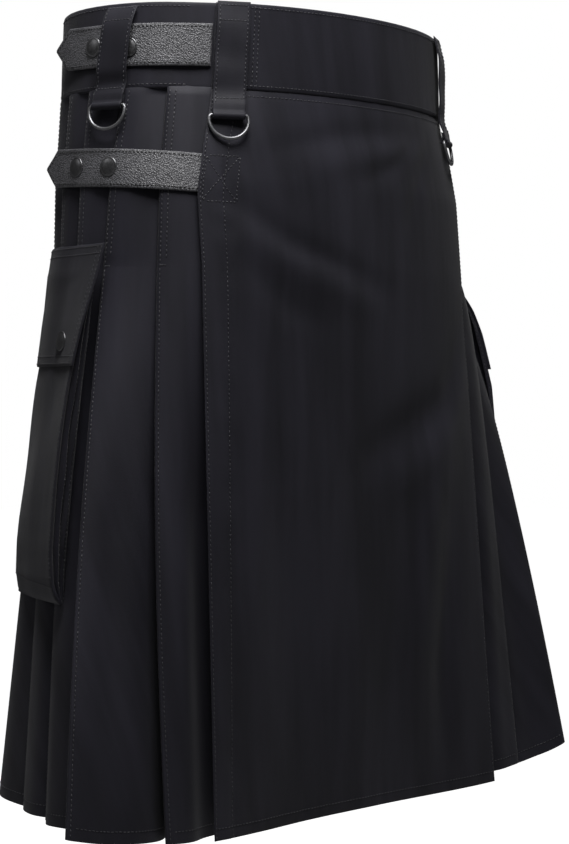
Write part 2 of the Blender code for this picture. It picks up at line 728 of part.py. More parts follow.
def build_loop_from(name, profile, top, foot, material):
    """Loop cloth of even thickness across a flat width."""
    centre = (top + foot) / 2
    across = loop_frame(centre)
    thick = [offset_line(profile, LOOP_CLOTH / 2), offset_line(profile, -LOOP_CLOTH / 2)]
    outline = list(thick[0]) + list(thick[1][::-1])
    z_top = profile[0][1]
    z_low = min(p[1] for p in profile)
    rings = []
    for side in (-1, 0, 1):
        ring = []
        for offset, z in outline:
            lean = min(max((z_top - z) / (z_top - z_low), 0.0), 1.0)
            angle = top + (foot - top) * lean
            base = body_plan(angle, z)
            normal = body_normal(centre, 0.0)
            p = np.array([base[0] + normal[0] * offset, base[1] + normal[1] * offset, z])
            ring.append(p + across * side * LOOP_WIDTH / 2)
        rings.append(ring)
    size = len(outline)
    points = [p for ring in rings for p in ring]
    faces = []
    for r in range(2):
        for k in range(size):
            n = (k + 1) % size
            faces.append((r * size + k, r * size + n, (r + 1) * size + n, (r + 1) * size + k))
    half = len(profile)
    for k in range(half - 1):
        faces.append((k, size - 1 - k, size - 2 - k, k + 1))
        b = 2 * size
        faces.append((b + k, b + k + 1, b + size - 2 - k, b + size - 1 - k))
    make_object(name, points, faces, material)


def build_loops(material):
    for name, top, foot, swell, top_z in RINGED_LOOPS:
        profile = loop_profile(swell, top_z, RING_HEIGHTS[name], RING_OFFSETS[name])
        build_loop_from("belt_loop_" + name, profile, top, foot, material)
    back = [(0.0012, 0.0325), (0.0022, 0.0260), (0.0034, 0.0120), (0.0036, -0.0020),
            (0.0030, -0.0180), (0.0018, -0.0290), (0.0013, -0.0380)]
    build_loop_from("belt_loop_back", back, 180.0, 180.0, material)


def ring_path():
    """Middle line of a D-ring: straight bar on top and a round bow below."""
    half = RING_WIDTH / 2 - RING_WIRE
    corner = 0.0026
    drop = RING_DROP - RING_WIRE
    depth = min(drop - corner - 0.001, half * 0.92)
    straight = drop - corner - depth
    path = [(x, 0.0) for x in np.linspace(-half + corner, half - corner, 5)]
    for turn in (60, 30, 0):
        a = math.radians(turn)
        path.append((half - corner + corner * math.cos(a), -corner + corner * math.sin(a)))
    for k in range(1, 14):
        turn = math.pi * k / 14
        path.append((half * math.cos(turn), -corner - straight - depth * math.sin(turn)))
    for turn in (180, 150, 120):
        a = math.radians(turn)
        path.append((-half + corner + corner * math.cos(a), -corner + corner * math.sin(a)))
    return path


def build_ring(name, top, foot, ring_z, ring_offset, material):
    """D-ring hanging from its bar, turned slightly to follow the cloth below."""
    centre_angle = (top + foot) / 2
    lean = (0.0335 - ring_z) / (0.0335 - ring_z + RING_WIRE * 1.9)
    angle = top + (foot - top) * lean
    normal = body_normal(centre_angle, 0.0)
    base = body_plan(angle, ring_z)
    bar = np.array([base[0] + normal[0] * ring_offset, base[1] + normal[1] * ring_offset, ring_z])
    below = body_plan(angle, ring_z - RING_DROP)
    rest = np.array([below[0], below[1], 0.0]) - np.array([base[0], base[1], 0.0])
    swing = max(float(np.dot(rest[:2], normal)), 0.0) + 0.0010
    down = np.array([normal[0] * swing, normal[1] * swing, -RING_DROP])
    down /= np.linalg.norm(down)
    across = loop_frame(centre_angle)
    path = ring_path()
    rings = []
    count = len(path)
    for k in range(count):
        a = np.array(path[(k - 1) % count])
        b = np.array(path[(k + 1) % count])
        ahead = (b - a) / np.linalg.norm(b - a)
        side = np.array([ahead[1], -ahead[0]])
        flat = across * side[0] - down * side[1]
        face = np.cross(across, down)
        mid = across * path[k][0] - down * path[k][1]
        ring = []
        for j in range(8):
            turn = 2 * math.pi * j / 8
            ring.append(mid + flat * RING_WIRE * math.cos(turn) + face * RING_WIRE * math.sin(turn))
        rings.append(ring)
    item = sweep(name, rings, material, closed=True)
    item.location = tuple(float(v) for v in bar)
    return item


def build_rings(material):
    for name, top, foot, _, _ in RINGED_LOOPS:
        build_ring("d_ring_" + name, top, foot, RING_HEIGHTS[name], RING_OFFSETS[name], material)


# Materials
def make_material(name, colour, roughness, metallic):
    material = bpy.data.materials.new(name)
    material.use_nodes = True
    shader = material.node_tree.nodes["Principled BSDF"]
    shader.inputs["Base Color"].default_value = colour
    shader.inputs["Roughness"].default_value = roughness
    shader.inputs["Metallic"].default_value = metallic
    material.diffuse_color = colour
    return material


def cloth_material():
    return make_material("cotton_twill", CLOTH_COLOUR, 0.86, 0.0)


def leather_material():
    return make_material("grained_leather", LEATHER_COLOUR, 0.50, 0.0)


def cap_material():
    return make_material("snap_metal", CAP_COLOUR, 0.42, 0.85)


def ring_material():
    return make_material("ring_metal", RING_COLOUR, 0.35, 0.95)


for old in list(bpy.data.objects):
    bpy.data.objects.remove(old, do_unlink=True)
PART = bpy.data.collections.new("utility_kilt")
bpy.context.scene.collection.children.link(PART)

CLOTH_MATERIAL = cloth_material()
LEATHER_MATERIAL = leather_material()
CAP_MATERIAL = cap_material()
RING_MATERIAL = ring_material()

build_waistband(CLOTH_MATERIAL)
build_apron(CLOTH_MATERIAL)
build_under_apron(CLOTH_MATERIAL)
build_pleats(CLOTH_MATERIAL)
build_pockets(CLOTH_MATERIAL)
build_flaps(CLOTH_MATERIAL)
build_straps(LEATHER_MATERIAL)
build_loops(CLOTH_MATERIAL)
build_rings(RING_MATERIAL)
build_strap_caps(CAP_MATERIAL)
build_flap_caps(CAP_MATERIAL)
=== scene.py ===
"""Looks of the utility kilt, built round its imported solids.

Metres, +Z up. The wearer faces -Y and +X is the wearer's left.
Angles run round the body from the centre front, negative towards the wearer's right.
Every cloth piece is a thin shell on its solid's form, with soft creases and real thread.
"""
import math
import bpy
import numpy as np
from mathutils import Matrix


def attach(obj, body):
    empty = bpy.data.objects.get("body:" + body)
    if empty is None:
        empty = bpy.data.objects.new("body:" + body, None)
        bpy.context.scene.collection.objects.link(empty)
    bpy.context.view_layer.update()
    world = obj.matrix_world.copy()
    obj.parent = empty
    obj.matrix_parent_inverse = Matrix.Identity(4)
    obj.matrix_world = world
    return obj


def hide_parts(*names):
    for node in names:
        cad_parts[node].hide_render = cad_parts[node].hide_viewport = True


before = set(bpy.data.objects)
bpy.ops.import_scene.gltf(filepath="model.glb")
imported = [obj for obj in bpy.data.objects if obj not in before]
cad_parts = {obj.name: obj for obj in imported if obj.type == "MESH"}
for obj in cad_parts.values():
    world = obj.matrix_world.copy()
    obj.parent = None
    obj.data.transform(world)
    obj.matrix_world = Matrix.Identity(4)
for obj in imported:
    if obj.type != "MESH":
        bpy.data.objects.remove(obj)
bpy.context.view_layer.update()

BODY = "kilt"

# Sizes shared with the solids
BAND_TOP = 0.0318
BAND_BOTTOM = -0.0318
BAND_THICK = 0.0024
CLOTH = 0.0012
SEAM_Z = -0.0322
FULL_LENGTH = 0.6054
# The two pleated walls meet at the centre back, each just past it
CENTRE_LAP = 0.0002
# Heights at which the panels turn up into the band
TURNED_IN = (-0.0285, -0.0306)
TACK_Z = -0.162
FALL = FULL_LENGTH - BAND_TOP + TACK_Z
LEATHER = 0.0020
LOOP_WIDTH = 0.0250
LOOP_CLOTH = 0.0014
RING_WIDTH = 0.0325
RING_DROP = 0.0190
RING_WIRE = 0.0013
CAP_RADIUS = 0.0073
CAP_HEIGHT = 0.0017
POCKET_WIDTH = 0.158
POCKET_TOP_Z = -0.168
FLAP_TOP_Z = -0.146
FLAP_BOTTOM_Z = -0.235
FLAP_THICK = 0.0018
POCKET_FOOT = 0.0009

# Body line: height, half width, front depth, back depth, squareness of the front
BODY_LINE = (
    (0.0318, 0.1753, 0.1167, 0.1167, 2.05),
    (-0.0318, 0.1795, 0.1145, 0.1150, 2.08),
    (-0.1000, 0.1870, 0.1175, 0.1120, 2.40),
    (-0.1620, 0.1896, 0.1180, 0.1100, 2.55),
)
BACK_SQUARENESS = 2.05

# name, edge angle at the band, edge angle at the tack, underlap in degrees,
# hem edge x and y, hem tuck x and y, bulge of the panel at the hem, backward bow, hem lift
PLEATS = (
    ("a", -59.3, -58.8, 6.5, 0.2030, -0.1080, 0.1280, -0.0890, 0.004, 1.0, 0.000),
    ("b", -75.0, -78.1, 6.5, 0.2780, -0.0870, 0.1600, -0.0660, 0.016, 1.0, 0.000),
    ("c", -90.5, -92.0, 6.5, 0.2260, -0.0040, 0.2300, -0.0520, 0.008, 0.6, 0.006),
    ("d", -104.0, -105.0, 6.0, 0.2065, 0.0440, 0.2110, -0.0120, 0.008, 0.3, 0.008),
    ("e", -118.5, -119.5, 5.0, 0.1760, 0.1060, 0.1950, 0.0300, 0.013, 0.0, 0.008),
    ("f", -132.5, -133.0, 4.5, 0.1460, 0.1310, 0.1756, 0.0867, 0.007, 0.0, 0.007),
    ("g", -146.0, -146.5, 4.0, 0.1080, 0.1490, 0.1509, 0.1131, 0.006, 0.0, 0.006),
    ("h", -160.0, -160.0, 4.0, 0.0660, 0.1610, 0.1156, 0.1322, 0.006, 0.0, 0.006),
    ("i", -178.4, -178.4, 4.0, 0.0060, 0.1660, 0.0768, 0.1460, 0.005, 0.0, 0.006),
)
LEFT_HEM_EDGES = {"a": (0.2150, -0.0990, 0.004), "b": (0.2800, -0.1000, 0.003)}
LEFT_FLARE = {"a": 0.58, "b": 0.58, "c": 0.60, "d": 0.75, "e": 0.90}
LEFT_HEM_LIFT = {"a": 0.004}
PLEAT_START = -41.0
LAYER_STEP = 0.0019
TUCK_DEPTH = 0.0042
FRONT_TUCK = 0.0030
HEM_FOLD = 0.0024
BOW = (0.0020, 0.0042)
POINTS_A_PLEAT = 9

# Apron: fraction of the width from the wearer's right edge, hem x and y
APRON_HEM = ((0.00, -0.1650, -0.1157), (0.12, -0.1256, -0.1130), (0.50, -0.0010, -0.1075),
             (0.88, 0.1236, -0.1120), (1.00, 0.1630, -0.1137))
# Apron edges: height, angle of the right edge, angle of the left edge
APRON_EDGES = ((-0.0322, -46.3, 46.5), (-0.0760, -47.9, 47.0), (-0.1100, -48.7, 47.6), (-0.1620, -47.0, 47.2))
UNDER_HEM = ((0.00, -0.1262, -0.0885), (0.25, -0.0650, -0.0985), (0.50, 0.0000, -0.1010),
             (0.75, 0.0600, -0.1010), (1.00, 0.1120, -0.0995))
FACING = 0.0195

POCKET_COLUMNS = (0.0, 0.07, 0.20, 0.34, 0.48, 0.62, 0.76, 0.90, 1.0)
POCKET_DEPTHS = ((0.0, 0.0150), (0.3, 0.0120), (0.6, 0.0080), (1.0, 0.0075))
# Height, share of the full depth on the wearer's right and left, place of the front edge there
POCKET_ROWS = (
    (-0.146, 0.15, 0.15, -0.0300, -0.0380),
    (-0.168, 0.22, 0.22, -0.0305, -0.0480),
    (-0.185, 0.42, 0.36, -0.0308, -0.0540),
    (-0.205, 0.66, 0.52, -0.0310, -0.0580),
    (-0.250, 0.93, 0.62, -0.0300, -0.0640),
    (-0.285, 1.00, 0.44, -0.0280, -0.0650),
    (-0.320, 0.98, 0.34, -0.0260, -0.0650),
    (-0.368, 0.88, 0.32, -0.0225, -0.0640),
    (-0.392, 0.70, 0.30, -0.0210, -0.0630),
    (-0.403, 0.38, 0.26, -0.0202, -0.0625),
    (-0.407, 0.16, 0.16, -0.0200, -0.0620),
)
FLAP_CAP_Z = -0.2165
FLAP_CAP_SHARES = (("front", 0.165), ("rear", 0.835))

# Belt loops with rings: name, angle at the top, angle at the foot, swell over the strap, top height,
# height and offset of the ring's bar
RINGED_LOOPS = (
    ("front_right", -41.4, -41.8, 0.0022, 0.0325, -0.0520, 0.0047),
    ("side_right", -76.0, -79.4, 0.0060, 0.0290, -0.0440, 0.0042),
    ("front_left", 41.4, 41.8, 0.0038, 0.0325, -0.0520, 0.0047),
    ("side_left", 76.0, 79.4, 0.0040, 0.0290, -0.0440, 0.0042),
)
BACK_LOOP = ((0.0012, 0.0325), (0.0022, 0.0260), (0.0034, 0.0120), (0.0036, -0.0020),
             (0.0030, -0.0180), (0.0018, -0.0290), (0.0013, -0.0380))
# Straps: name, middle height, height at the tip, arch, width, first angle, angle where it leaves
# the body line, length of the tail, end of the sink, start of the sink, depth of the sink
STRAPS = (
    ("waist_strap", 0.0005, 0.0030, -0.0008, 0.0315, -46.9, -91.0, 0.0395, -64.0, -49.0, -0.0027),
    ("hip_strap", -0.0948, -0.0862, 0.0020, 0.0285, -47.4, -93.5, 0.0395, -52.5, -47.4, -0.0009),
)
STRAP_BASE = 0.0004
STRAP_CAPS = (
    ("waist_strap_cap_rear", -87.7, 0.0008), ("waist_strap_cap_front", -73.0, -0.0014),
    ("hip_strap_cap_rear", -92.3, -0.0876), ("hip_strap_cap_front", -76.8, -0.0892),
)

# Creases of the apron: (share of the width, height) points, width and depth in millimetres, inwards below 0
APRON_CREASES = (
    (((0.20, -0.074), (0.42, -0.060), (0.73, -0.053)), 9, -1.6),
    (((0.30, -0.092), (0.52, -0.074), (0.76, -0.060)), 10, 1.4),
    (((0.74, -0.052), (0.62, -0.078), (0.50, -0.092)), 7, -1.3),
    (((0.80, -0.056), (0.72, -0.090), (0.66, -0.125)), 8, -1.2),
    (((0.09, -0.112), (0.24, -0.143), (0.37, -0.156), (0.57, -0.176)), 10, -2.4),
    (((0.10, -0.134), (0.27, -0.164), (0.50, -0.186)), 12, 2.1),
    (((0.11, -0.160), (0.24, -0.192), (0.36, -0.205)), 10, -1.6),
    (((0.95, -0.200), (0.84, -0.262), (0.60, -0.292), (0.48, -0.313)), 17, -4.4),
    (((0.93, -0.252), (0.76, -0.305), (0.62, -0.330)), 16, 3.6),
    (((0.88, -0.290), (0.77, -0.340), (0.73, -0.413), (0.71, -0.500)), 20, 5.4),
    (((0.86, -0.372), (0.81, -0.470), (0.82, -0.550)), 15, -4.0),
    (((0.22, -0.330), (0.26, -0.430), (0.30, -0.560)), 32, -3.8),
    (((0.50, -0.400), (0.48, -0.480), (0.52, -0.570)), 26, 2.6),
    (((0.14, -0.250), (0.15, -0.350), (0.16, -0.440)), 16, 1.0),
)
# Soft folds of the pleats: pleat, share across at the top and foot, height of the top and foot,
# width and depth in millimetres, inwards below 0
PLEAT_FOLDS = (
    ("a", 0.30, 0.42, -0.230, -0.560, 12, -3.4), ("a", 0.68, 0.72, -0.300, -0.574, 10, 2.6),
    ("b", 0.30, 0.36, -0.170, -0.574, 16, 3.6), ("b", 0.70, 0.74, -0.240, -0.574, 14, -4.0),
    ("b", 0.52, 0.55, -0.380, -0.574, 12, 1.4), ("c", 0.60, 0.52, -0.400, -0.574, 12, -2.2),
    ("d", 0.45, 0.52, -0.390, -0.574, 12, 2.0), ("e", 0.35, 0.46, -0.350, -0.574, 16, -2.4),
    ("f", 0.55, 0.45, -0.240, -0.574, 13, 2.2), ("g", 0.48, 0.58, -0.190, -0.520, 12, -2.0),
    ("h", 0.60, 0.50, -0.260, -0.574, 13, 2.2), ("i", 0.40, 0.45, -0.200, -0.574, 15, -2.0),
)

CAMERA_TURN = 46.4
CAMERA_DISTANCE = 1.75
CAMERA_HEIGHT = -0.2496
CAMERA_LENS = 93.3
CAMERA_SHIFT = (0.0330, -0.0424)
FLOOR_Z = -1.02
FLOOR_REACH = 12.0
AMBIENT = 0.055
# Lamps: name, angle round the body, rise in degrees, distance, size and power
LAMPS = (("key", -42, 62, 1.20, 0.6, 19.0), ("side", -120, 35, 1.8, 0.6, 1.5), ("back", 140, 50, 1.8, 1.0, 10.0))


# Plan of the body line
def body_sizes(z):
    """Half width, front depth, back depth and squareness at one height."""
    rows = np.array(BODY_LINE)
    return [float(np.interp(-z, -rows[:, 0], rows[:, k])) for k in range(1, 5)]


def body_plan(angle, z):
    """Point of the body line in plan."""
    half, front, back, square = body_sizes(z)
    s = math.sin(math.radians(angle))
    c = math.cos(math.radians(angle))
    power = square if c > 0 else BACK_SQUARENESS
    depth = front if c > 0 else back
    reach = (abs(s) ** power + abs(c) ** power) ** (-1.0 / power)
    return np.array([half * s * reach, -depth * c * reach])


def body_normal(angle, z):
    """Outward direction of the body line in plan."""
    ahead = body_plan(angle + 0.6, z) - body_plan(angle - 0.6, z)
    ahead /= np.linalg.norm(ahead)
    return np.array([ahead[1], -ahead[0]])


def on_body(angle, z, offset):
    """Plan point moved out from the body line."""
    return body_plan(angle, z) + body_normal(angle, z) * offset


# Pleat lines, as in the solids
def upper_pleat_line(z):
    """Wearer's right pleats between the band and the tacks, stitched down in layers."""
    f = (SEAM_Z - z) / (SEAM_Z - TACK_Z)
    line = []
    before = None
    outer = CLOTH / 2
    for k, (_, top, low, lap) in enumerate(row[:4] for row in PLEATS):
        edge = top + (low - top) * f
        if before is None:
            shown = edge + 0.86 * (PLEAT_START - edge)
            line.append(on_body(PLEAT_START, z, -outer - FRONT_TUCK))
            line.append(on_body(shown, z, -outer - FRONT_TUCK * 0.97))
        else:
            shown = before
            line.append(on_body(before + lap, z, -outer - TUCK_DEPTH))
            line.append(on_body(shown, z, -outer - TUCK_DEPTH + 0.0001))
        depth = FRONT_TUCK if before is None else TUCK_DEPTH
        back_lap = PLEATS[k + 1][3] if k + 1 < len(PLEATS) else 10.6
        free = 1 - back_lap / (shown - edge) - 0.03
        for share, sink in ((free * 0.5, 0.50), (free, 0.0)):
            line.append(on_body(shown + (edge - shown) * share, z, -outer - depth * sink))
        line.append(on_body(edge + 0.45, z, -outer))
        line.append(on_body(edge, z, -outer - LAYER_STEP / 2))
        line.append(on_body(edge + 0.45, z, -outer - LAYER_STEP))
        if k + 1 < len(PLEATS):
            lap = PLEATS[k + 1][3]
            line.append(on_body(edge + lap * 0.5, z, -outer - LAYER_STEP))
            line.append(on_body(edge + lap, z, -outer - LAYER_STEP))
        before = edge
    for angle, sink in ((-172.0, LAYER_STEP), (-168.0, LAYER_STEP), (-168.0, TUCK_DEPTH), (-174.0, TUCK_DEPTH)):
        line.append(on_body(angle, z, -outer - sink))
    last = on_body(-179.0, z, -outer - TUCK_DEPTH)
    line.append(np.array([CENTRE_LAP, last[1]]))
    return np.array(line)


def hem_pleat_line(edges):
    """The same points of the pleats at the hem."""
    rows = []
    for name, _, _, _, ex, ey, tx, ty, bulge, _, _ in PLEATS:
        ex, ey, bulge = edges.get(name, (ex, ey, bulge))
        rows.append((np.array([-ex, ey]), np.array([-tx, ty]), bulge))
    line = []
    for k, (edge, tuck, bulge) in enumerate(rows):
        chord = edge - tuck
        along = chord / np.linalg.norm(chord)
        out = np.array([-along[1], along[0]])
        line.append(tuck if k == 0 else tuck - out * HEM_FOLD / 2)
        for share in (0.22, 0.52, 0.80):
            line.append(tuck + chord * share + out * 4 * share * (1 - share) * bulge)
        line.append(edge - along * 0.0012)
        line.append(edge - out * HEM_FOLD / 2)
        line.append(edge - along * 0.0012 - out * HEM_FOLD)
        if k + 1 < len(rows):
            after_edge, after_tuck, _ = rows[k + 1]
            after = after_edge - after_tuck
            after /= np.linalg.norm(after)
            corner = after_tuck + np.array([-after[1], after[0]]) * HEM_FOLD / 2
            line.append((line[-1] + corner) / 2)
            line.append(corner)
    fold = np.array([-0.0400, 0.1545])
    line.append((line[-1] + fold) / 2)
    line.append(fold)
    line.append(fold + np.array([0.0, -HEM_FOLD]))
    line.append(np.array([-0.0200, 0.1521]))
    line.append(np.array([CENTRE_LAP, 0.1521]))
    return np.array(line)


def per_point(values):
    """One value for each point of the pleat line, shared by both layers at every inner fold."""
    spread = []
    for k, value in enumerate(values):
        spread += [value] * 7
        if k + 1 < len(values):
            spread += [(value + values[k + 1]) / 2, values[k + 1]]
    return np.array(spread + [values[-1]] * 5)


def fallen(upper, lower, share, bow=0.0, lift=0.0, flare=1.0):
    """Level between the tacks and the hem on falls of constant cloth length."""
    move = lower - upper
    drop = np.sqrt(FALL ** 2 - (move ** 2).sum(axis=1)) - lift
    move_share = np.power(share, np.zeros(len(upper)) + flare)
    line = upper + move * move_share[:, None]
    lean = math.sin(math.pi * share) * (np.zeros(len(upper)) + bow)
    line = line + lean[:, None] * np.array([-BOW[0], BOW[1]])
    return line, TACK_Z - drop * share


# Sheets of cloth as grids of points
def refine(line, counts):
    """Smooth curve through points, each span cut into its own number of steps."""
    first = line[0] * 2 - line[1]
    last = line[-1] * 2 - line[-2]
    knots = np.vstack([first[None], line, last[None]])
    made = []
    for k in range(1, len(knots) - 2):
        p = knots[k - 1:k + 3]
        t = [0.0]
        for j in range(3):
            t.append(t[-1] + max(float(np.linalg.norm(p[j + 1] - p[j])), 1e-7) ** 0.5)
        at = np.linspace(t[1], t[2], counts[k - 1] + 1)[:-1, None]
        a1 = ((t[1] - at) * p[0] + (at - t[0]) * p[1]) / (t[1] - t[0])
        a2 = ((t[2] - at) * p[1] + (at - t[1]) * p[2]) / (t[2] - t[1])
        a3 = ((t[3] - at) * p[2] + (at - t[2]) * p[3]) / (t[3] - t[2])
        b1 = ((t[2] - at) * a1 + (at - t[0]) * a2) / (t[2] - t[0])
        b2 = ((t[3] - at) * a2 + (at - t[1]) * a3) / (t[3] - t[1])
        made.append(((t[2] - at) * b1 + (at - t[1]) * b2) / (t[2] - t[1]))
    return np.vstack(made + [line[-1][None]])


def lengths_of(grid, axis):
    """Running length of the grid's lines along its rows (axis 1) or columns (axis 0)."""
    steps = np.linalg.norm(np.diff(grid, axis=axis), axis=2)
    start = np.zeros((grid.shape[0], 1)) if axis == 1 else np.zeros((1, grid.shape[1]))
    return np.concatenate([start, np.cumsum(steps, axis=axis)], axis=axis)


def facing(grid):
    """Unit normals of a grid, out of its first row turned towards its first column."""
    along = np.gradient(grid, axis=1)
    down = np.gradient(grid, axis=0)
    normal = np.cross(along, down)
    return normal / np.maximum(np.linalg.norm(normal, axis=2), 1e-12)[..., None]


def crease_field(places, creases, width):
    """Depth in metres at each (share, height) place, from soft creases along short lines."""
    here = np.stack([places[..., 0] * width, places[..., 1]], axis=-1)
    depth = np.zeros(here.shape[:2])
    for points, wide, deep in creases:
        line = np.array([(s * width, z) for s, z in points])
        best = np.full(here.shape[:2], 1e9)
        strength = np.zeros(here.shape[:2])
        for k in range(len(line) - 1):
            run = line[k + 1] - line[k]
            t = np.clip(((here - line[k]) @ run) / float(run @ run), 0, 1)
            d = np.linalg.norm(here - line[k] - t[..., None] * run, axis=-1)
            whole = (k + t) / (len(line) - 1)
            nearer = d < best
            best = np.where(nearer, d, best)
            strength = np.where(nearer, np.sin(math.pi * (0.05 + 0.90 * whole)) ** 0.7, strength)
        depth += deep * 0.001 * strength * np.exp(-(best / (wide * 0.001)) ** 2)
    return depth


def ripple(u, v, pitch):
    """Uneven small waves, from -1 to 1, for puckers beside a row of stitches."""
    a = np.sin(2 * math.pi * u / pitch + 1.7 * np.sin(2 * math.pi * u / (pitch * 3.7)) + v * 90)
    b = np.sin(2 * math.pi * u / (pitch * 1.63) + 2.1 + v * 60)
    return 0.6 * a + 0.4 * b


def shell(name, grid, thick, material, rounded=0.0):
    """Closed thin piece from a grid of middle points, with lengths in metres as its UV map."""
    rows, cols = grid.shape[:2]
    normal = facing(grid)
    u = lengths_of(grid, 1)
    v = lengths_of(grid, 0)
    half = np.full((rows, cols), thick / 2)
    if rounded > 0:
        edge = np.minimum(np.minimum(u, u[:, -1:] - u), np.minimum(v, v[-1:] - v))
        half = half * (0.35 + 0.65 * np.sqrt(np.clip(edge / rounded, 0, 1)))
    outer = grid + normal * half[..., None]
    inner = grid - normal * half[..., None]
    points = np.vstack([outer.reshape(-1, 3), inner.reshape(-1, 3)])
    index = np.arange(rows * cols).reshape(rows, cols)
    a, b, c, d = index[:-1, :-1], index[:-1, 1:], index[1:, 1:], index[1:, :-1]
    front = np.stack([a, b, c, d], axis=-1).reshape(-1, 4)
    back = front[:, ::-1] + rows * cols
    rim = np.concatenate([index[0, :], index[1:, -1], index[-1, -2::-1], index[-2:0:-1, 0]])
    after = np.roll(rim, -1)
    side = np.stack([rim, rim + rows * cols, after + rows * cols, after], axis=-1)
    faces = np.vstack([front, back, side])
    mesh = bpy.data.meshes.new(name)
    mesh.vertices.add(len(points))
    mesh.vertices.foreach_set("co", points.ravel())
    mesh.loops.add(faces.size)
    mesh.loops.foreach_set("vertex_index", faces.ravel())
    mesh.polygons.add(len(faces))
    mesh.polygons.foreach_set("loop_start", np.arange(0, faces.size, 4))
    mesh.polygons.foreach_set("loop_total", np.full(len(faces), 4))
    mesh.update(calc_edges=True)
    uv = np.stack([u.ravel(), v.ravel()], axis=1)
    uv = np.vstack([uv, uv])[faces.ravel()]
    mesh.uv_layers.new(name="lengths").data.foreach_set("uv", uv.ravel())
    mesh.materials.append(material)
    mesh.shade_smooth()
    mesh.set_sharp_from_angle(angle=math.radians(70))
    item = bpy.data.objects.new(name, mesh)
    bpy.context.scene.collection.objects.link(item)
    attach(item, BODY)
    return item


def cloth_piece(name, node, grid, thick, rounded=0.0):
    """Cloth shell that stands for a CAD node, which it hides."""
    item = shell(name, grid, thick, CLOTH_LOOK, rounded)
    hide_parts(node)
    return item


def at(grid, row, col):
    """Points of a grid at fractional rows and columns."""
    row = np.clip(np.asarray(row, dtype=float), 0, grid.shape[0] - 1.001)
    col = np.clip(np.asarray(col, dtype=float), 0, grid.shape[1] - 1.001)
    r = row.astype(int)
    c = col.astype(int)
    fr = (row - r)[..., None]
    fc = (col - c)[..., None]
    top = grid[r, c] * (1 - fc) + grid[r, c + 1] * fc
    low = grid[r + 1, c] * (1 - fc) + grid[r + 1, c + 1] * fc
    return top * (1 - fr) + low * fr


# Thread
THREAD_RUNS = {}


def sew(piece, grid, thick, rows, cols, pitch=0.0034, length=0.0026, radius=0.00034):
    """Notes one row of stitches on the outside of a grid, at fractional rows and columns."""
    rows, cols = np.broadcast_arrays(np.asarray(rows, dtype=float), np.asarray(cols, dtype=float))
    points = at(grid, rows, cols)
    normals = at(facing(grid), rows, cols)
    normals /= np.linalg.norm(normals, axis=1)[:, None]
    points = points + normals * (thick / 2 + radius * 0.35)
    THREAD_RUNS.setdefault(piece, []).append((points, normals, pitch, length, radius))


def beside(grid, col, distance):
    """Fractional column, row by row, that lies a distance in metres from a column."""
    u = lengths_of(grid, 1)
    found = []
    for k in range(len(u)):
        found.append(float(np.interp(u[k, col] + distance, u[k], np.arange(u.shape[1]))))
    return np.array(found)


def row_beside(grid, row, distance):
    """Fractional row, column by column, that lies a distance in metres from a row."""
    v = lengths_of(grid, 0)
    found = []
    for k in range(v.shape[1]):
        found.append(float(np.interp(v[row, k] + distance, v[:, k], np.arange(v.shape[0]))))
    return np.array(found)


def build_thread():
    """One piece of thread for each piece of cloth: short tapered stitches with sunk ends."""
    shape = ((0.0, 0.0, -0.6), (0.22, 1.0, 0.0), (0.78, 1.0, 0.0), (1.0, 0.0, -0.6))
    for piece, runs in THREAD_RUNS.items():
        points = []
        faces = []
        for places, normals, pitch, length, radius in runs:
            steps = np.linalg.norm(np.diff(places, axis=0), axis=1)
            run = np.concatenate([[0.0], np.cumsum(steps)])
            for start in np.arange(pitch * 0.3, run[-1] - length, pitch):
                ends = [np.array([np.interp(s, run, places[:, k]) for k in range(3)]) for s in (start, start + length)]
                up = np.array([np.interp(start + length / 2, run, normals[:, k]) for k in range(3)])
                ahead = ends[1] - ends[0]
                side = np.cross(ahead, up)
                side /= max(np.linalg.norm(side), 1e-9)
                base = len(points)
                for share, wide, sink in shape:
                    middle = ends[0] + ahead * share + up * radius * sink
                    if wide == 0:
                        points.append(middle)
                        continue
                    for turn in (0.0, 0.5, 1.0, 1.5):
                        a = math.pi * turn
                        points.append(middle + (side * math.cos(a) * 1.15 + up * math.sin(a) * 0.85) * radius)
                for k in range(4):
                    n = (k + 1) % 4
                    faces.append((base, base + 1 + n, base + 1 + k))
                    faces.append((base + 1 + k, base + 1 + n, base + 5 + n, base + 5 + k))
                    faces.append((base + 5 + k, base + 5 + n, base + 9))
        mesh = bpy.data.meshes.new("thread_" + piece)
        mesh.from_pydata([tuple(p) for p in points], [], faces)
        mesh.materials.append(BLACK_THREAD_LOOK if piece.endswith("strap") else THREAD_LOOK)
        mesh.shade_smooth()
        item = bpy.data.objects.new("thread_" + piece, mesh)
        bpy.context.scene.collection.objects.link(item)
        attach(item, BODY)


# Materials
def new_material(name, colour, roughness, metallic=0.0):
    """Principled material with its constants on the shader."""
    material = bpy.data.materials.new(name)
    material.use_nodes = True
    nodes = material.node_tree.nodes
    shader = nodes["Principled BSDF"]
    shader.inputs["Base Color"].default_value = (*colour, 1.0)
    shader.inputs["Roughness"].default_value = roughness
    shader.inputs["Metallic"].default_value = metallic
    return material, nodes, material.node_tree.links, shader


def math_node(nodes, links, operation, a, b=None):
    """Math node on sockets or numbers."""
    node = nodes.new("ShaderNodeMath")
    node.operation = operation
    for k, value in enumerate((a, b)):
        if value is None:
            continue
        if isinstance(value, (int, float)):
            node.inputs[k].default_value = value
        else:
            links.new(value, node.inputs[k])
    return node.outputs[0]


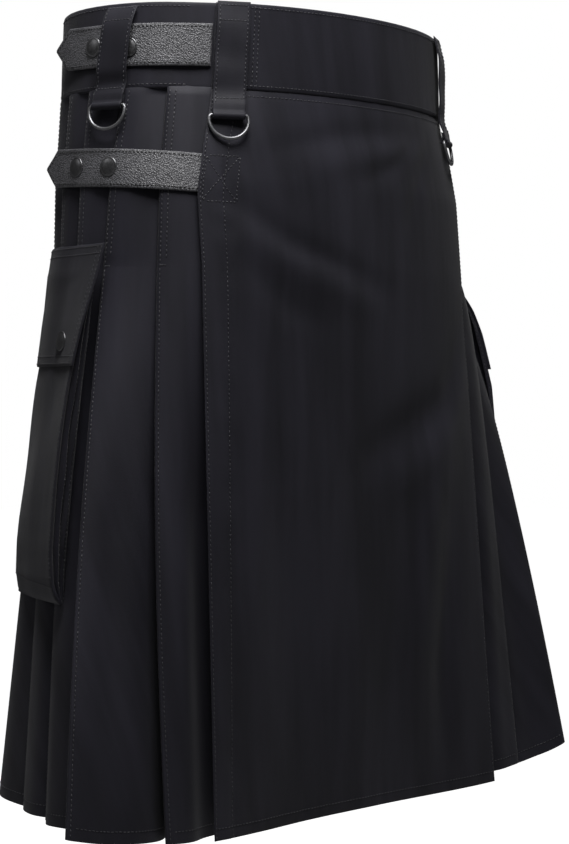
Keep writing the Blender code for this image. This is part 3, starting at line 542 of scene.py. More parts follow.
def noise(nodes, links, vector, scale, detail=3.0, stretch=(1, 1, 1)):
    """Noise on a vector stretched per axis."""
    mapping = nodes.new("ShaderNodeMapping")
    mapping.inputs["Scale"].default_value = stretch
    links.new(vector, mapping.inputs["Vector"])
    node = nodes.new("ShaderNodeTexNoise")
    node.inputs["Scale"].default_value = scale
    node.inputs["Detail"].default_value = detail
    links.new(mapping.outputs[0], node.inputs["Vector"])
    return node.outputs[0]


def mixed_colour(nodes, links, factor, dark, light):
    """Colour between two, by a factor socket."""
    node = nodes.new("ShaderNodeMix")
    node.data_type = "RGBA"
    links.new(factor, node.inputs["Factor"])
    node.inputs[6].default_value = (*dark, 1.0)
    node.inputs[7].default_value = (*light, 1.0)
    return node.outputs[2]


def in_range(nodes, links, value, low, high):
    """Value from low to high mapped to 0 to 1 and clamped."""
    node = nodes.new("ShaderNodeMapRange")
    node.inputs["From Min"].default_value = low
    node.inputs["From Max"].default_value = high
    links.new(value, node.inputs["Value"])
    return node.outputs[0]


def twill_look():
    """Near-black cotton twill: fine diagonal ribs, soft vertical tone streaks, slight sheen."""
    material, nodes, links, shader = new_material("cotton_twill_look", (0.016, 0.016, 0.019), 0.62)
    uv = nodes.new("ShaderNodeUVMap").outputs[0]
    split = nodes.new("ShaderNodeSeparateXYZ")
    links.new(uv, split.inputs[0])
    across = math_node(nodes, links, "MULTIPLY", split.outputs[0], 6900.0)
    down = math_node(nodes, links, "MULTIPLY", split.outputs[1], 4700.0)
    wobble = math_node(nodes, links, "MULTIPLY", noise(nodes, links, uv, 420.0, 2.0), 2.4)
    phase = math_node(nodes, links, "ADD", math_node(nodes, links, "SUBTRACT", across, down), wobble)
    ribs = math_node(nodes, links, "MULTIPLY_ADD", math_node(nodes, links, "SINE", phase), 0.5)
    yarn = noise(nodes, links, uv, 900.0, 2.0, (0.35, 1.0, 1.0))
    streak = noise(nodes, links, uv, 46.0, 4.0, (1.0, 0.10, 1.0))
    cloud = noise(nodes, links, uv, 9.0, 3.0, (1.0, 0.45, 1.0))
    tone = math_node(nodes, links, "ADD", math_node(nodes, links, "MULTIPLY", streak, 0.55),
                     math_node(nodes, links, "MULTIPLY", cloud, 0.45))
    tone = in_range(nodes, links, tone, 0.40, 0.61)
    tone = math_node(nodes, links, "ADD", math_node(nodes, links, "MULTIPLY", tone, 0.62),
                     math_node(nodes, links, "MULTIPLY", math_node(nodes, links, "MULTIPLY", ribs, yarn), 0.55))
    colour = mixed_colour(nodes, links, tone, (0.0064, 0.0061, 0.0098), (0.0206, 0.0196, 0.0288))
    links.new(colour, shader.inputs["Base Color"])
    rough = math_node(nodes, links, "MULTIPLY_ADD", cloud, 0.16)
    rough.node.inputs[2].default_value = 0.54
    links.new(rough, shader.inputs["Roughness"])
    shader.inputs["Specular IOR Level"].default_value = 0.22
    shader.inputs["Sheen Weight"].default_value = 0.06
    shader.inputs["Sheen Roughness"].default_value = 0.45
    height = math_node(nodes, links, "ADD", ribs, math_node(nodes, links, "MULTIPLY", yarn, 0.7))
    bump = nodes.new("ShaderNodeBump")
    bump.inputs["Strength"].default_value = 0.35
    bump.inputs["Distance"].default_value = 0.00016
    links.new(height, bump.inputs["Height"])
    slub = nodes.new("ShaderNodeBump")
    slub.inputs["Strength"].default_value = 0.30
    slub.inputs["Distance"].default_value = 0.0009
    links.new(noise(nodes, links, uv, 70.0, 3.0, (1.0, 0.30, 1.0)), slub.inputs["Height"])
    links.new(slub.outputs[0], bump.inputs["Normal"])
    links.new(bump.outputs[0], shader.inputs["Normal"])
    return material


def leather_look():
    """Dark grey pebbled leather with a soft gloss on the grain, and painted shade darkening the crevices between the
    pebbles.
    """
    material, nodes, links, shader = new_material("grained_leather_look", (0.05, 0.05, 0.053), 0.42)
    uv = nodes.new("ShaderNodeUVMap").outputs[0]
    cells = nodes.new("ShaderNodeTexVoronoi")
    cells.inputs["Scale"].default_value = 980.0
    links.new(uv, cells.inputs["Vector"])
    pebble = in_range(nodes, links, cells.outputs["Distance"], 0.25, 0.80)
    fine = noise(nodes, links, uv, 1500.0, 3.0)
    patch = noise(nodes, links, uv, 60.0, 3.0)
    # Colour: random patch tone, plus painted shade that darkens the crevices between the pebbles
    wear_and_pit_shade = math_node(nodes, links, "ADD", math_node(nodes, links, "MULTIPLY", pebble, -0.55),
                     math_node(nodes, links, "ADD", math_node(nodes, links, "MULTIPLY", patch, 0.6), 0.62))
    colour = mixed_colour(nodes, links, wear_and_pit_shade, (0.006, 0.006, 0.007), (0.098, 0.097, 0.106))
    links.new(colour, shader.inputs["Base Color"])
    shader.inputs["Specular IOR Level"].default_value = 0.62
    rough = math_node(nodes, links, "MULTIPLY_ADD", pebble, 0.25)
    rough.node.inputs[2].default_value = 0.36
    links.new(rough, shader.inputs["Roughness"])
    height = math_node(nodes, links, "ADD", math_node(nodes, links, "MULTIPLY", pebble, -1.0),
                       math_node(nodes, links, "MULTIPLY", fine, 0.35))
    bump = nodes.new("ShaderNodeBump")
    bump.inputs["Strength"].default_value = 0.75
    bump.inputs["Distance"].default_value = 0.00040
    links.new(height, bump.inputs["Height"])
    links.new(bump.outputs[0], shader.inputs["Normal"])
    return material


def metal_look(name, colour, roughness):
    """Gunmetal with faint brushed wear."""
    material, nodes, links, shader = new_material(name, colour, roughness, 1.0)
    place = nodes.new("ShaderNodeTexCoord").outputs["Object"]
    wear_and_pit_shade = in_range(nodes, links, noise(nodes, links, place, 900.0, 4.0), 0.3, 0.7)
    light = tuple(1.5 * c for c in colour)
    links.new(mixed_colour(nodes, links, wear_and_pit_shade, colour, light), shader.inputs["Base Color"])
    rough = math_node(nodes, links, "MULTIPLY_ADD", wear_and_pit_shade, 0.14)
    rough.node.inputs[2].default_value = roughness - 0.05
    links.new(rough, shader.inputs["Roughness"])
    return material


def thread_look(name, dark, light):
    """Dark polyester thread, a little glossier than the cloth."""
    material, nodes, links, shader = new_material(name, dark, 0.42)
    place = nodes.new("ShaderNodeTexCoord").outputs["Object"]
    fibres = in_range(nodes, links, noise(nodes, links, place, 2400.0, 2.0), 0.3, 0.7)
    links.new(mixed_colour(nodes, links, fibres, dark, light), shader.inputs["Base Color"])
    return material


CLOTH_LOOK = twill_look()
LEATHER_LOOK = leather_look()
CAP_LOOK = metal_look("snap_metal_look", (0.13, 0.13, 0.135), 0.36)
RING_LOOK = metal_look("ring_metal_look", (0.15, 0.15, 0.156), 0.44)
THREAD_LOOK = thread_look("thread_look", (0.012, 0.012, 0.015), (0.050, 0.049, 0.056))
BLACK_THREAD_LOOK = thread_look("black_thread_look", (0.003, 0.003, 0.003), (0.012, 0.012, 0.013))


# Waistband
def build_band():
    """One strip round the waist that passes under its own front end."""
    stations = list(np.linspace(-46.3, 46.3, 45)) + list(np.linspace(46.3, 294.0, 120))[1:]
    stations += [296.5, 299.0, 301.5, 304.0, 306.5, 309.0, 313.0] + list(np.linspace(320.0, 397.0, 36))
    heights = [0.0318, 0.0315, 0.0308, 0.0296, 0.0280, 0.0262, 0.0235, 0.020, 0.015, 0.009, 0.003,
               -0.003, -0.009, -0.015, -0.020, -0.0235, -0.0262, -0.0280, -0.0296, -0.0308, -0.0315, -0.0318]
    grid = np.zeros((len(heights), len(stations), 3))
    for c, angle in enumerate(stations):
        sink = band_sink(angle)
        for r, z in enumerate(heights):
            u = math.radians(angle) * 0.15
            near = math.exp(-((abs(z) - 0.0275) / 0.006) ** 2)
            wave = 0.00022 * near * float(ripple(u, z, 0.0105))
            broad = 0.0005 * math.sin(angle * 0.11 + 1.3) * math.cos(z * 50)
            p = on_body(angle, z, -BAND_THICK / 2 - sink + wave + broad * (angle < 290))
            grid[r, c] = (p[0], p[1], z)
    grid = grid[:, ::-1]
    cloth_piece("band", "waistband", grid, BAND_THICK, 0.0016)
    count = len(stations)
    shown = np.linspace(38, count - 1, 900)
    for distance in (0.0030, ):
        sew("band", grid, BAND_THICK, row_beside(grid, 0, distance)[shown.astype(int)], shown)
        sew("band", grid, BAND_THICK, row_beside(grid, len(heights) - 1, -distance)[shown.astype(int)], shown)
    for angle in (-35.2, -34.0):
        col = count - 1 - np.interp(angle, stations[:45], np.arange(45))
        sew("band", grid, BAND_THICK, np.linspace(1.5, len(heights) - 2.5, 40), np.full(40, col))


# Aprons
def apron_edges(z):
    rows = np.array(APRON_EDGES)
    right = float(np.interp(-z, -rows[:, 0], rows[:, 1]))
    left = float(np.interp(-z, -rows[:, 0], rows[:, 2]))
    return right, left


def apron_lift(z, share):
    """How far the apron stands off the body line, most at its right edge over the strap."""
    down = min(max((SEAM_Z - z) / 0.040, 0.0), 1.0)
    down = down * down * (3 - 2 * down)
    right = max(0.0, 1 - share / 0.22) ** 1.5
    left = max(0.0, 1 - (1 - share) / 0.20) ** 1.5
    return -0.0006 - CLOTH / 2 + down * (0.0036 * right + 0.0026 * left + 0.0006)


def edge_shares(width, count):
    """Shares of a width, closer together by both edges."""
    fine = np.array([0.0, 0.0004, 0.0012, 0.0024, 0.0042]) / width
    return np.concatenate([fine, np.linspace(0.0065 / width, 1 - 0.0065 / width, count), 1 - fine[::-1]])


def fall_shares():
    """Shares of the fall below the tacks, closer together by the hem."""
    return list(np.linspace(0, 1, 62)[1:-1]) + [0.9895, 0.9945, 0.9982, 1.0]


def apron_grid():
    """Middle of the apron cloth."""
    shares = edge_shares(0.33, 92)
    hem = refine(np.array(APRON_HEM), [24] * 4)
    lower = np.stack([np.interp(shares, hem[:, 0], hem[:, k]) for k in (1, 2)], axis=1)
    rows = []
    for z in np.linspace(SEAM_Z, TACK_Z, 30):
        right, left = apron_edges(z)
        line = np.array([on_body(right + (left - right) * q, z, apron_lift(z, q)) for q in shares])
        rows.append(np.column_stack([line, np.full(len(line), z)]))
    upper = rows[-1][:, :2]
    for share in fall_shares():
        line, heights = fallen(upper, lower, share)
        rows.append(np.column_stack([line, heights]))
    return np.array(rows)[:, ::-1], shares[::-1]


def build_apron():
    grid, shares = apron_grid()
    places = np.stack([np.broadcast_to(shares, grid.shape[:2]), grid[..., 2]], axis=-1)
    out = facing(grid)
    depth = crease_field(places, APRON_CREASES, 0.33)
    depth *= np.clip((SEAM_Z - places[..., 1]) / 0.012, 0, 1)
    v = lengths_of(grid, 0)
    u = lengths_of(grid, 1)
    from_right = u[:, -1:] - u
    from_foot = v[-1:] - v
    depth += 0.00040 / (1 + np.exp((from_right - FACING) / 0.0007))
    depth -= 0.00028 * np.exp(-((from_right - FACING - 0.0006) / 0.0016) ** 2) * (1.3 + ripple(v, u, 0.017))
    depth += 0.00035 * np.exp(-((from_right - FACING) / 0.009) ** 2) * ripple(v, u, 0.024)
    depth -= 0.00020 * np.exp(-((from_right - 0.0022) / 0.0012) ** 2)
    depth += 0.00030 * np.exp(-((from_foot - 0.0085) / 0.006) ** 2) * ripple(u, v, 0.019)
    depth -= 0.00020 * np.exp(-((u - 0.0022) / 0.0012) ** 2)
    grid = grid + out * depth[..., None]
    cloth_piece("apron_front", "apron", grid, CLOTH, 0.0010)
    rows, cols = grid.shape[:2]
    every = np.arange(rows, dtype=float)
    for distance in (0.0018, FACING):
        sew("apron", grid, CLOTH, every, beside(grid, cols - 1, -distance))
    sew("apron", grid, CLOTH, every[8:], beside(grid, 0, 0.0018)[8:])
    across = np.linspace(2, cols - 3, 300)
    sew("apron", grid, CLOTH, row_beside(grid, rows - 1, -0.0085)[across.astype(int)], across)
    sew("apron", grid, CLOTH, np.full(300, 1.0), across)
    strap_box(grid, rows, cols)


def strap_box(grid, rows, cols):
    """Box and cross that hold the hip strap's end behind the apron's right edge."""
    v = lengths_of(grid, 0)
    far = beside(grid, cols - 1, -0.0300)
    near = beside(grid, cols - 1, -0.0035)
    column = v[:, int(far.mean())]
    top = float(np.interp(0.0515, column, np.arange(rows)))
    foot = float(np.interp(0.0855, column, np.arange(rows)))
    middle = int((top + foot) / 2)
    a, b = far[middle], near[middle]
    for r0, c0, r1, c1 in ((top, a, top, b), (foot, a, foot, b), (top, a, foot, a), (top, b, foot, b),
                           (top, a, foot, b), (top, b, foot, a)):
        share = np.linspace(0, 1, 40)
        sew("apron", grid, CLOTH, r0 + (r1 - r0) * share, c0 + (c1 - c0) * share, 0.0030, 0.0023)


def build_under_apron():
    shares = edge_shares(0.25, 48)
    hem = refine(np.array(UNDER_HEM), [12] * 4)
    lower = np.stack([np.interp(shares, hem[:, 0], hem[:, k]) for k in (1, 2)], axis=1)
    rows = []
    for z in [*TURNED_IN, *np.linspace(SEAM_Z, TACK_Z, 16)]:
        line = []
        for q in shares:
            angle = PLEAT_START + 0.55 + (35.0 - PLEAT_START) * q
            line.append(on_body(angle, z, -CLOTH / 2 - FRONT_TUCK - 0.0004 * math.sin(math.pi * q)))
        rows.append(np.column_stack([np.array(line), np.full(len(line), z)]))
    upper = rows[-1][:, :2]
    for share in np.linspace(0, 1, 36)[1:]:
        line, heights = fallen(upper, lower, share)
        rows.append(np.column_stack([line, heights]))
    grid = np.array(rows)[:, ::-1]
    wave = np.sin(np.linspace(0, 9.0, grid.shape[1]))[None] * np.clip((-0.2 - grid[..., 2]) / 0.3, 0, 1)
    grid = grid + facing(grid) * (0.0022 * wave)[..., None]
    cloth_piece("apron_inner", "under_apron", grid, CLOTH, 0.0010)
    across = np.linspace(1, grid.shape[1] - 2, 200)
    sew("apron_inner", grid, CLOTH, row_beside(grid, len(grid) - 1, -0.0085)[across.astype(int)], across)


# Pleats
def span_counts(lower, upper):
    """Steps in each span of the pleat line, about 3.6 mm long at the hem."""
    long = np.linalg.norm(np.diff(lower, axis=0), axis=1)
    short = np.linalg.norm(np.diff(upper, axis=0), axis=1)
    return [int(min(max(round(max(a, b) / 0.0036), 2), 12)) for a, b in zip(long, short)]


def band_sink(angle):
    """How far the band's hind end lies behind its front end, by angle from 0 to 397."""
    return float(np.interp(angle, [294.0, 299.0, 304.0, 309.0], [0.0, 0.0009, 0.0023, 0.0032]))


def sewn_in(line, lapped):
    """Top rows of a panel, drawn into the thickness of the band."""
    rows = []
    for z, share in zip(TURNED_IN, (1.0, 0.8)):
        inside = np.array([on_body(a, z, -BAND_THICK / 2 - band_sink(a + 360) * lapped)
                           for a in np.linspace(-182.0, -38.0, 289)])
        nearest = np.array([inside[np.argmin(((inside - p) ** 2).sum(axis=1))] for p in line])
        rows.append(np.column_stack([line + (nearest - line) * share, np.full(len(line), z)]))
    return rows


def pleat_grid(edges, flares, lifts, lapped):
    """Middle of one pleated wall on the wearer's right, with the column of each pleat line point."""
    tack = upper_pleat_line(TACK_Z)
    lower = hem_pleat_line(edges)
    counts = span_counts(lower, tack)
    rows = sewn_in(refine(upper_pleat_line(SEAM_Z), counts), lapped)
    for z in np.linspace(SEAM_Z, TACK_Z, 26):
        line = refine(upper_pleat_line(z), counts)
        rows.append(np.column_stack([line, np.full(len(line), z)]))
    bow = per_point([row[9] for row in PLEATS])
    lift = per_point([lifts.get(row[0], row[10]) for row in PLEATS])
    flare = per_point([flares.get(row[0], 1.0) for row in PLEATS])
    shares = [0.004, 0.009] + fall_shares()
    for share in shares:
        line, heights = fallen(tack, lower, share, bow, lift, flare)
        rows.append(refine(np.column_stack([line, heights]), counts))
    return np.array(rows), np.concatenate([[0], np.cumsum(counts)])


def fold_pleats(grid, starts, amount):
    """Depth in metres of the soft folds over a pleated wall."""
    depth = np.zeros(grid.shape[:2])
    z = grid[..., 2]
    u = lengths_of(grid, 1)
    for name, top_share, foot_share, top_z, foot_z, wide, deep in PLEAT_FOLDS:
        k = [row[0] for row in PLEATS].index(name)
        first = starts[k * POINTS_A_PLEAT]
        last = starts[k * POINTS_A_PLEAT + 4]
        left = u[:, first:first + 1]
        width = u[:, last:last + 1] - left
        down = np.clip((top_z - z) / (top_z - foot_z), 0, 1)
        centre = left + width * (top_share + (foot_share - top_share) * down)
        inside = np.clip((u - left) / 0.006, 0, 1) * np.clip((left + width - u) / 0.006, 0, 1)
        fade = np.clip(down * 3.0, 0, 1) ** 2 * (1 - 0.35 * down)
        depth += deep * 0.001 * amount * fade * inside * np.exp(-((u - centre) / (wide * 0.001)) ** 2)
    return depth


def build_pleats(side):
    """Pleated wall of one side, with its edge stitching, bar tacks and hem."""
    if side == "right":
        grid, starts = pleat_grid({}, {}, {}, True)
    else:
        grid, starts = pleat_grid(LEFT_HEM_EDGES, LEFT_FLARE, LEFT_HEM_LIFT, False)
    grid = grid + facing(grid) * fold_pleats(grid, starts, 1.0 if side == "right" else 0.8)[..., None]
    cols = grid.shape[1]
    grid = on_side(side, grid)
    step = -1.0
    if side == "left":
        starts = cols - 1 - starts
        step = 1.0
    node = "pleats_" + side
    cloth_piece("pleated_" + side, node, grid, CLOTH, 0.0)
    rows = grid.shape[0]
    tack_row = 25 + len(TURNED_IN)
    every = np.arange(len(TURNED_IN), rows, dtype=float)
    name = "pleats_" + side
    for k in range(len(PLEATS)):
        edge = int(starts[k * POINTS_A_PLEAT + 4])
        near = beside(grid, edge, step * 0.0009)
        wide = beside(grid, edge, step * 0.0052)
        sew(name, grid, CLOTH, every, near[len(TURNED_IN):])
        sew(name, grid, CLOTH, every[:25], wide[len(TURNED_IN):tack_row])
        share = np.linspace(0, 1, 12)
        for shift in (0.0, 0.10, 0.20):
            bar = near[tack_row] + (wide[tack_row] - near[tack_row]) * share * 1.2
            sew(name, grid, CLOTH, np.full(12, tack_row + shift), bar, 0.0011, 0.0010, 0.0003)
        tuck = int(starts[k * POINTS_A_PLEAT])
        across = np.linspace(min(tuck, edge) + 1, max(tuck, edge) - 1, 120)
        sew(name, grid, CLOTH, row_beside(grid, rows - 1, -0.0085)[across.astype(int)], across)


# Pockets
def pleat_edge_plan(index, z, side, flares):
    """Outer edge of one pleat at a height, drawn on the wearer's right."""
    row = PLEATS[index]
    if z >= TACK_Z:
        f = (SEAM_Z - z) / (SEAM_Z - TACK_Z)
        return on_body(row[1] + (row[2] - row[1]) * f, z, 0.0)
    share = min((TACK_Z - z) / 0.404, 1.0)
    high = on_body(row[2], TACK_Z, 0.0)
    low = np.array([-row[4], row[5]])
    if side == "left" and row[0] in LEFT_HEM_EDGES:
        low = np.array([-LEFT_HEM_EDGES[row[0]][0], LEFT_HEM_EDGES[row[0]][1]])
    lean = math.sin(math.pi * share) * row[9]
    return high + (low - high) * share ** flares.get(row[0], 1.0) + lean * np.array([-BOW[0], BOW[1]])


BASES = {}


def pocket_base(z, side):
    """Smooth plan curve over the pleat edges and its running length from pleat c."""
    if (z, side) in BASES:
        return BASES[z, side]
    first = 2 if side == "right" else 1
    flares = {} if side == "right" else LEFT_FLARE
    knots = [pleat_edge_plan(k, z, side, flares) for k in range(first, 9)]
    ahead = knots[0] * 2.1 - knots[1] * 1.1
    knots = [ahead * 2 - knots[0], ahead] + knots
    dense = []
    for k in range(1, len(knots) - 2):
        p0, p1, p2, p3 = knots[k - 1:k + 3]
        for t in np.linspace(0, 1, 13)[:-1]:
            a = 2 * p1 + (p2 - p0) * t + (2 * p0 - 5 * p1 + 4 * p2 - p3) * t * t
            dense.append(0.5 * (a + (3 * p1 - p0 - 3 * p2 + p3) * t ** 3))
    dense = np.array(dense)
    steps = np.linalg.norm(np.diff(dense, axis=0), axis=1)
    length = np.concatenate([[0.0], np.cumsum(steps)])
    BASES[z, side] = (dense, length - length[12 * (3 - first)])
    return BASES[z, side]


def base_point(z, side, along):
    """Point of the base curve, carried straight on ahead of its start."""
    dense, length = pocket_base(z, side)
    p = np.array([np.interp(along, length, dense[:, k]) for k in (0, 1)])
    short = max(float(length[0]) - along, 0.0)
    way = dense[0] - dense[1]
    return p + way / np.linalg.norm(way) * short


def pocket_place(z, along, offset, side):
    """Plan point over the pocket base curve."""
    p, a, b = (base_point(z, side, along + step) for step in (0.0, -0.006, 0.006))
    ahead = (b - a) / np.linalg.norm(b - a)
    return p + np.array([-ahead[1], ahead[0]]) * offset


def pocket_row(z, side):
    """Share of the full depth and place of the front edge at one height."""
    rows = np.array(POCKET_ROWS)
    k = 0 if side == "right" else 1
    swell = float(np.interp(-z, -rows[:, 0], rows[:, 1 + k]))
    front = float(np.interp(-z, -rows[:, 0], rows[:, 3 + k]))
    return swell, front


def pocket_depth(z, share, side):
    """Middle of the pocket face off the base curve."""
    rows = np.array(POCKET_DEPTHS)
    full = float(np.interp(share, rows[:, 0], rows[:, 1]))
    flatter = 0.5 * min(max((z + 0.350) / 0.115, 0.0), 1.0) * (0.25 + 0.75 * min(share / 0.3, 1.0))
    return max(full * pocket_row(z, side)[0] * (1 - flatter), POCKET_FOOT + 0.0012)


def pocket_section(z, side):
    """Front panel with folded gussets down both sides, open towards the pleats."""
    swell, front = pocket_row(z, side)
    fold = max(0.0, (swell - 0.35) / 0.65)
    leg = pocket_depth(z, 0.0, side) - POCKET_FOOT
    wander = 0.0012 * math.sin(z * 95.0) * fold
    places = [
        (front + 0.0030 * fold, POCKET_FOOT),
        (front - 0.0022 * fold + wander, POCKET_FOOT + leg * (0.20 + 0.08 * fold)),
        (front + 0.0058 * fold, POCKET_FOOT + leg * (0.32 + 0.12 * fold)),
        (front - 0.0012 * fold - wander, POCKET_FOOT + leg * (0.50 + 0.10 * fold)),
        (front + 0.0050 * fold, POCKET_FOOT + leg * (0.66 + 0.12 * fold)),
    ]
    for share in POCKET_COLUMNS:
        bulge = 0.0008 * fold * math.sin(math.pi * share) * math.sin(z * 60 + share * 7)
        places.append((front + POCKET_WIDTH * share, pocket_depth(z, share, side) + bulge))
    leg = pocket_depth(z, 1.0, side) - POCKET_FOOT
    rear = front + POCKET_WIDTH
    places.append((rear - 0.004 * fold, POCKET_FOOT + leg * (0.30 + 0.20 * fold)))
    places.append((rear, POCKET_FOOT))
    return np.array([pocket_place(z, along, offset, side) for along, offset in places])


def on_side(side, grid):
    """The grid where it is drawn, or mirrored to the wearer's left, with its outside out."""
    if side == "right":
        return grid
    return (grid * np.array([-1.0, 1.0, 1.0]))[:, ::-1]


def pocket_heights():
    """Heights of the pocket rows, closer together by the foot."""
    return list(np.linspace(POCKET_TOP_Z, -0.384, 52)) + [-0.388, -0.392, -0.396, -0.400, -0.403, -0.4055, -0.407]


def build_pocket(side):
    counts = [3, 3, 3, 3, 3] + [4, 6, 7, 7, 7, 7, 6, 4] + [3, 3]
    rows = []
    for z in pocket_heights():
        line = refine(pocket_section(z, side), counts)
        rows.append(np.column_stack([line, np.full(len(line), z)]))
    grid = np.array(rows)
    corners = [int(sum(counts[:5])), int(sum(counts[:13]))]
    if side == "left":
        corners = [grid.shape[1] - 1 - c for c in corners]
    grid = on_side(side, grid)
    inward = 1 if side == "right" else -1
    cloth_piece("pocket_body_" + side, "pocket_" + side, grid, CLOTH,
                0.0)
    every = np.arange(grid.shape[0], dtype=float)
    sew("pocket_" + side, grid, CLOTH, every, beside(grid, corners[0], inward * 0.0016))
    sew("pocket_" + side, grid, CLOTH, every, beside(grid, corners[1], -inward * 0.0016))
    for fold in (3, 9):
        fold = fold if side == "right" else grid.shape[1] - 1 - fold
        sew("pocket_" + side, grid, CLOTH, every, beside(grid, fold, -inward * 0.0010))
    across = np.linspace(min(corners) + 2, max(corners) - 2, 160)
    sew("pocket_" + side, grid, CLOTH, row_beside(grid, len(grid) - 1, -0.0140)[across.astype(int)], across)


def flap_offset(z, share, side):
    """Middle of the flap off the base curve, sewn down at its top and lying on the pocket."""
    rise = min(max((FLAP_TOP_Z - z) / (FLAP_TOP_Z - POCKET_TOP_Z - 0.001), 0.0), 1.0)
    low = 0.0013
    over = pocket_depth(min(z, POCKET_TOP_Z), share, side) + CLOTH / 2 + FLAP_THICK / 2 + 0.0004
    return low + (over - low) * rise


def build_flap(side):
    heights = [FLAP_TOP_Z, -0.1464, -0.1472, -0.1485] + list(np.linspace(-0.151, -0.230, 26))
    heights += [-0.2325, -0.2338, -0.2346, FLAP_BOTTOM_Z]
    shares = edge_shares(POCKET_WIDTH, 44)
    rows = []
    for z in heights:
        front = pocket_row(z, side)[1]
        reach = 0.0 if side == "left" else 0.0030 + 0.0090 * (z - FLAP_BOTTOM_Z) / (FLAP_TOP_Z - FLAP_BOTTOM_Z)
        line = []
        for share in shares:
            along = front + POCKET_WIDTH * share + 0.005 * (share - 0.5) - reach * (1 - share)
            curl = 0.0008 * math.sin(share * 9.0 + 1.0) * max(0.0, (-0.19 - z) / 0.045)
            line.append(pocket_place(z, along, flap_offset(z, share, side) + curl * 0.5, side))
        rows.append(np.column_stack([np.array(line), np.full(len(line), z)]))
    grid = on_side(side, np.array(rows))
    cloth_piece("pocket_cover_" + side, "pocket_flap_" + side, grid, FLAP_THICK,
                0.0014)
    rows, cols = grid.shape[:2]
    every = np.linspace(2, rows - 3, 80)
    for distance in (0.0020, 0.0075):
        sew("pocket_flap_" + side, grid, FLAP_THICK, every, np.interp(every, np.arange(rows), beside(grid, 0, distance)))
        sew("pocket_flap_" + side, grid, FLAP_THICK, every,
            np.interp(every, np.arange(rows), beside(grid, cols - 1, -distance)))
        across = np.linspace(3, cols - 4, 120)
        sew("pocket_flap_" + side, grid, FLAP_THICK,
            row_beside(grid, rows - 1, -distance)[across.astype(int)], across)
        sew("pocket_flap_" + side, grid, FLAP_THICK, row_beside(grid, 0, distance)[across.astype(int)], across)


# Straps
def strap_places(z, row):
    """Plan points and outward directions of a strap that leaves the body line at its tip."""
    _, _, _, _, _, first, leave, tail, sink_end, sink_start, deep = row
    places = []
    for angle in np.linspace(first, leave, 60):
        share = min(max((angle - sink_end) / (sink_start - sink_end), 0.0), 1.0)
        places.append((on_body(angle, z, STRAP_BASE + (deep - STRAP_BASE) * share), body_normal(angle, z)))
    point, normal = places[-1]
    along = np.array([normal[1], -normal[0]])
    for step in np.linspace(0.0, 1.0, 24)[1:]:
        reach = tail * step
        places.append((point + along * reach - normal * 1.6 * reach * reach, normal))
    return places


def build_strap(row):
    name, z_mid, z_tip, arch, height = row[:5]
    lines = [strap_places(z_mid + k * height / 2, row) for k in (-1, 0, 1)]
    count = len(lines[1])
    steps = [np.linalg.norm(lines[1][k + 1][0] - lines[1][k][0]) for k in range(count - 1)]
    run = np.concatenate([[0.0], np.cumsum(steps)])
    total = run[-1]
    corner = total - height * 0.55
    stations = list(np.linspace(0, corner, 76)) + list(np.linspace(corner, total, 18))[1:]
    stations[-1] = total - 0.0004
    bars = np.array([1.0, 0.985, 0.955, 0.90, 0.80, 0.6, 0.35, 0.1, -0.1, -0.35, -0.6, -0.80, -0.90, -0.955, -0.985, -1.0])
    grid = np.zeros((len(bars), len(stations), 3))
    for c, length in enumerate(stations):
        share = length / total
        middle = z_mid + (z_tip - z_mid) * share ** 1.6 + arch * 4 * share * (1 - share)
        half = height / 2 if length <= corner else height / 2 * (total - length) / (total - corner) + 0.0004
        for r, bar in enumerate(bars):
            z = middle + bar * half
            aim = min(max((z - z_mid) / (height / 2), -1.2), 1.2)
            rim = lines[2] if aim > 0 else lines[0]
            at_middle = np.array([np.interp(length, run, [p[0][k] for p in lines[1]]) for k in (0, 1)])
            at_rim = np.array([np.interp(length, run, [p[0][k] for p in rim]) for k in (0, 1)])
            normal = np.array([np.interp(length, run, [p[1][k] for p in lines[1]]) for k in (0, 1)])
            plan = at_middle + (at_rim - at_middle) * abs(aim) + normal * LEATHER / 2
            grid[r, c] = (plan[0], plan[1], z)
    item = shell(name + "_leather", grid, LEATHER, LEATHER_LOOK, 0.0012)
    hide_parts(name)
    cols = len(stations)
    tip = cols - 18
    long = np.linspace(1, tip, 400)
    rows = grid.shape[0]
    for start, distance in ((0, 0.0023), (rows - 1, -0.0023)):
        found = row_beside(grid, start, distance)
        sew(name, grid, LEATHER, np.interp(long, np.arange(cols), found), long, 0.0030, 0.0023, 0.00036)
        share = np.linspace(0, 1, 40)
        inner = cols - 3.2 + (tip - cols + 3.2) * share
        middle = (rows - 1) / 2
        sew(name, grid, LEATHER, middle + (found[tip] - middle) * share ** 0.9, inner, 0.0030, 0.0023, 0.00036)


# Belt loops
def loop_profile(swell, top_z, ring_z, ring_offset):
    """Offset and height of the middle of the loop cloth, from the rim round the ring bar."""
    turn_radius = RING_WIRE + 0.00045 + LOOP_CLOTH / 2
    side = 0.0010
    start = math.atan2(side, math.sqrt(turn_radius ** 2 - side ** 2))
    front = ring_offset + side
    low = 0.0012
    line = [
        (low, top_z), (low + swell * 0.45, 0.0245), (low + swell * 0.90, 0.0165),
        (low + swell, 0.0060), (low + swell * 0.97, -0.0070),
        (low + (front - low) * 0.30 + swell * 0.62, -0.0185),
        (front * 0.55 + low * 0.45, ring_z + 0.0160), (front, ring_z + 0.0075),
    ]
    for k in range(8):
        turn = start + (2 * math.pi - 2 * start) * k / 7
        line.append((ring_offset + turn_radius * math.sin(turn), ring_z + turn_radius * math.cos(turn)))
    line.append((ring_offset - side, ring_z + 0.0075))
    return line


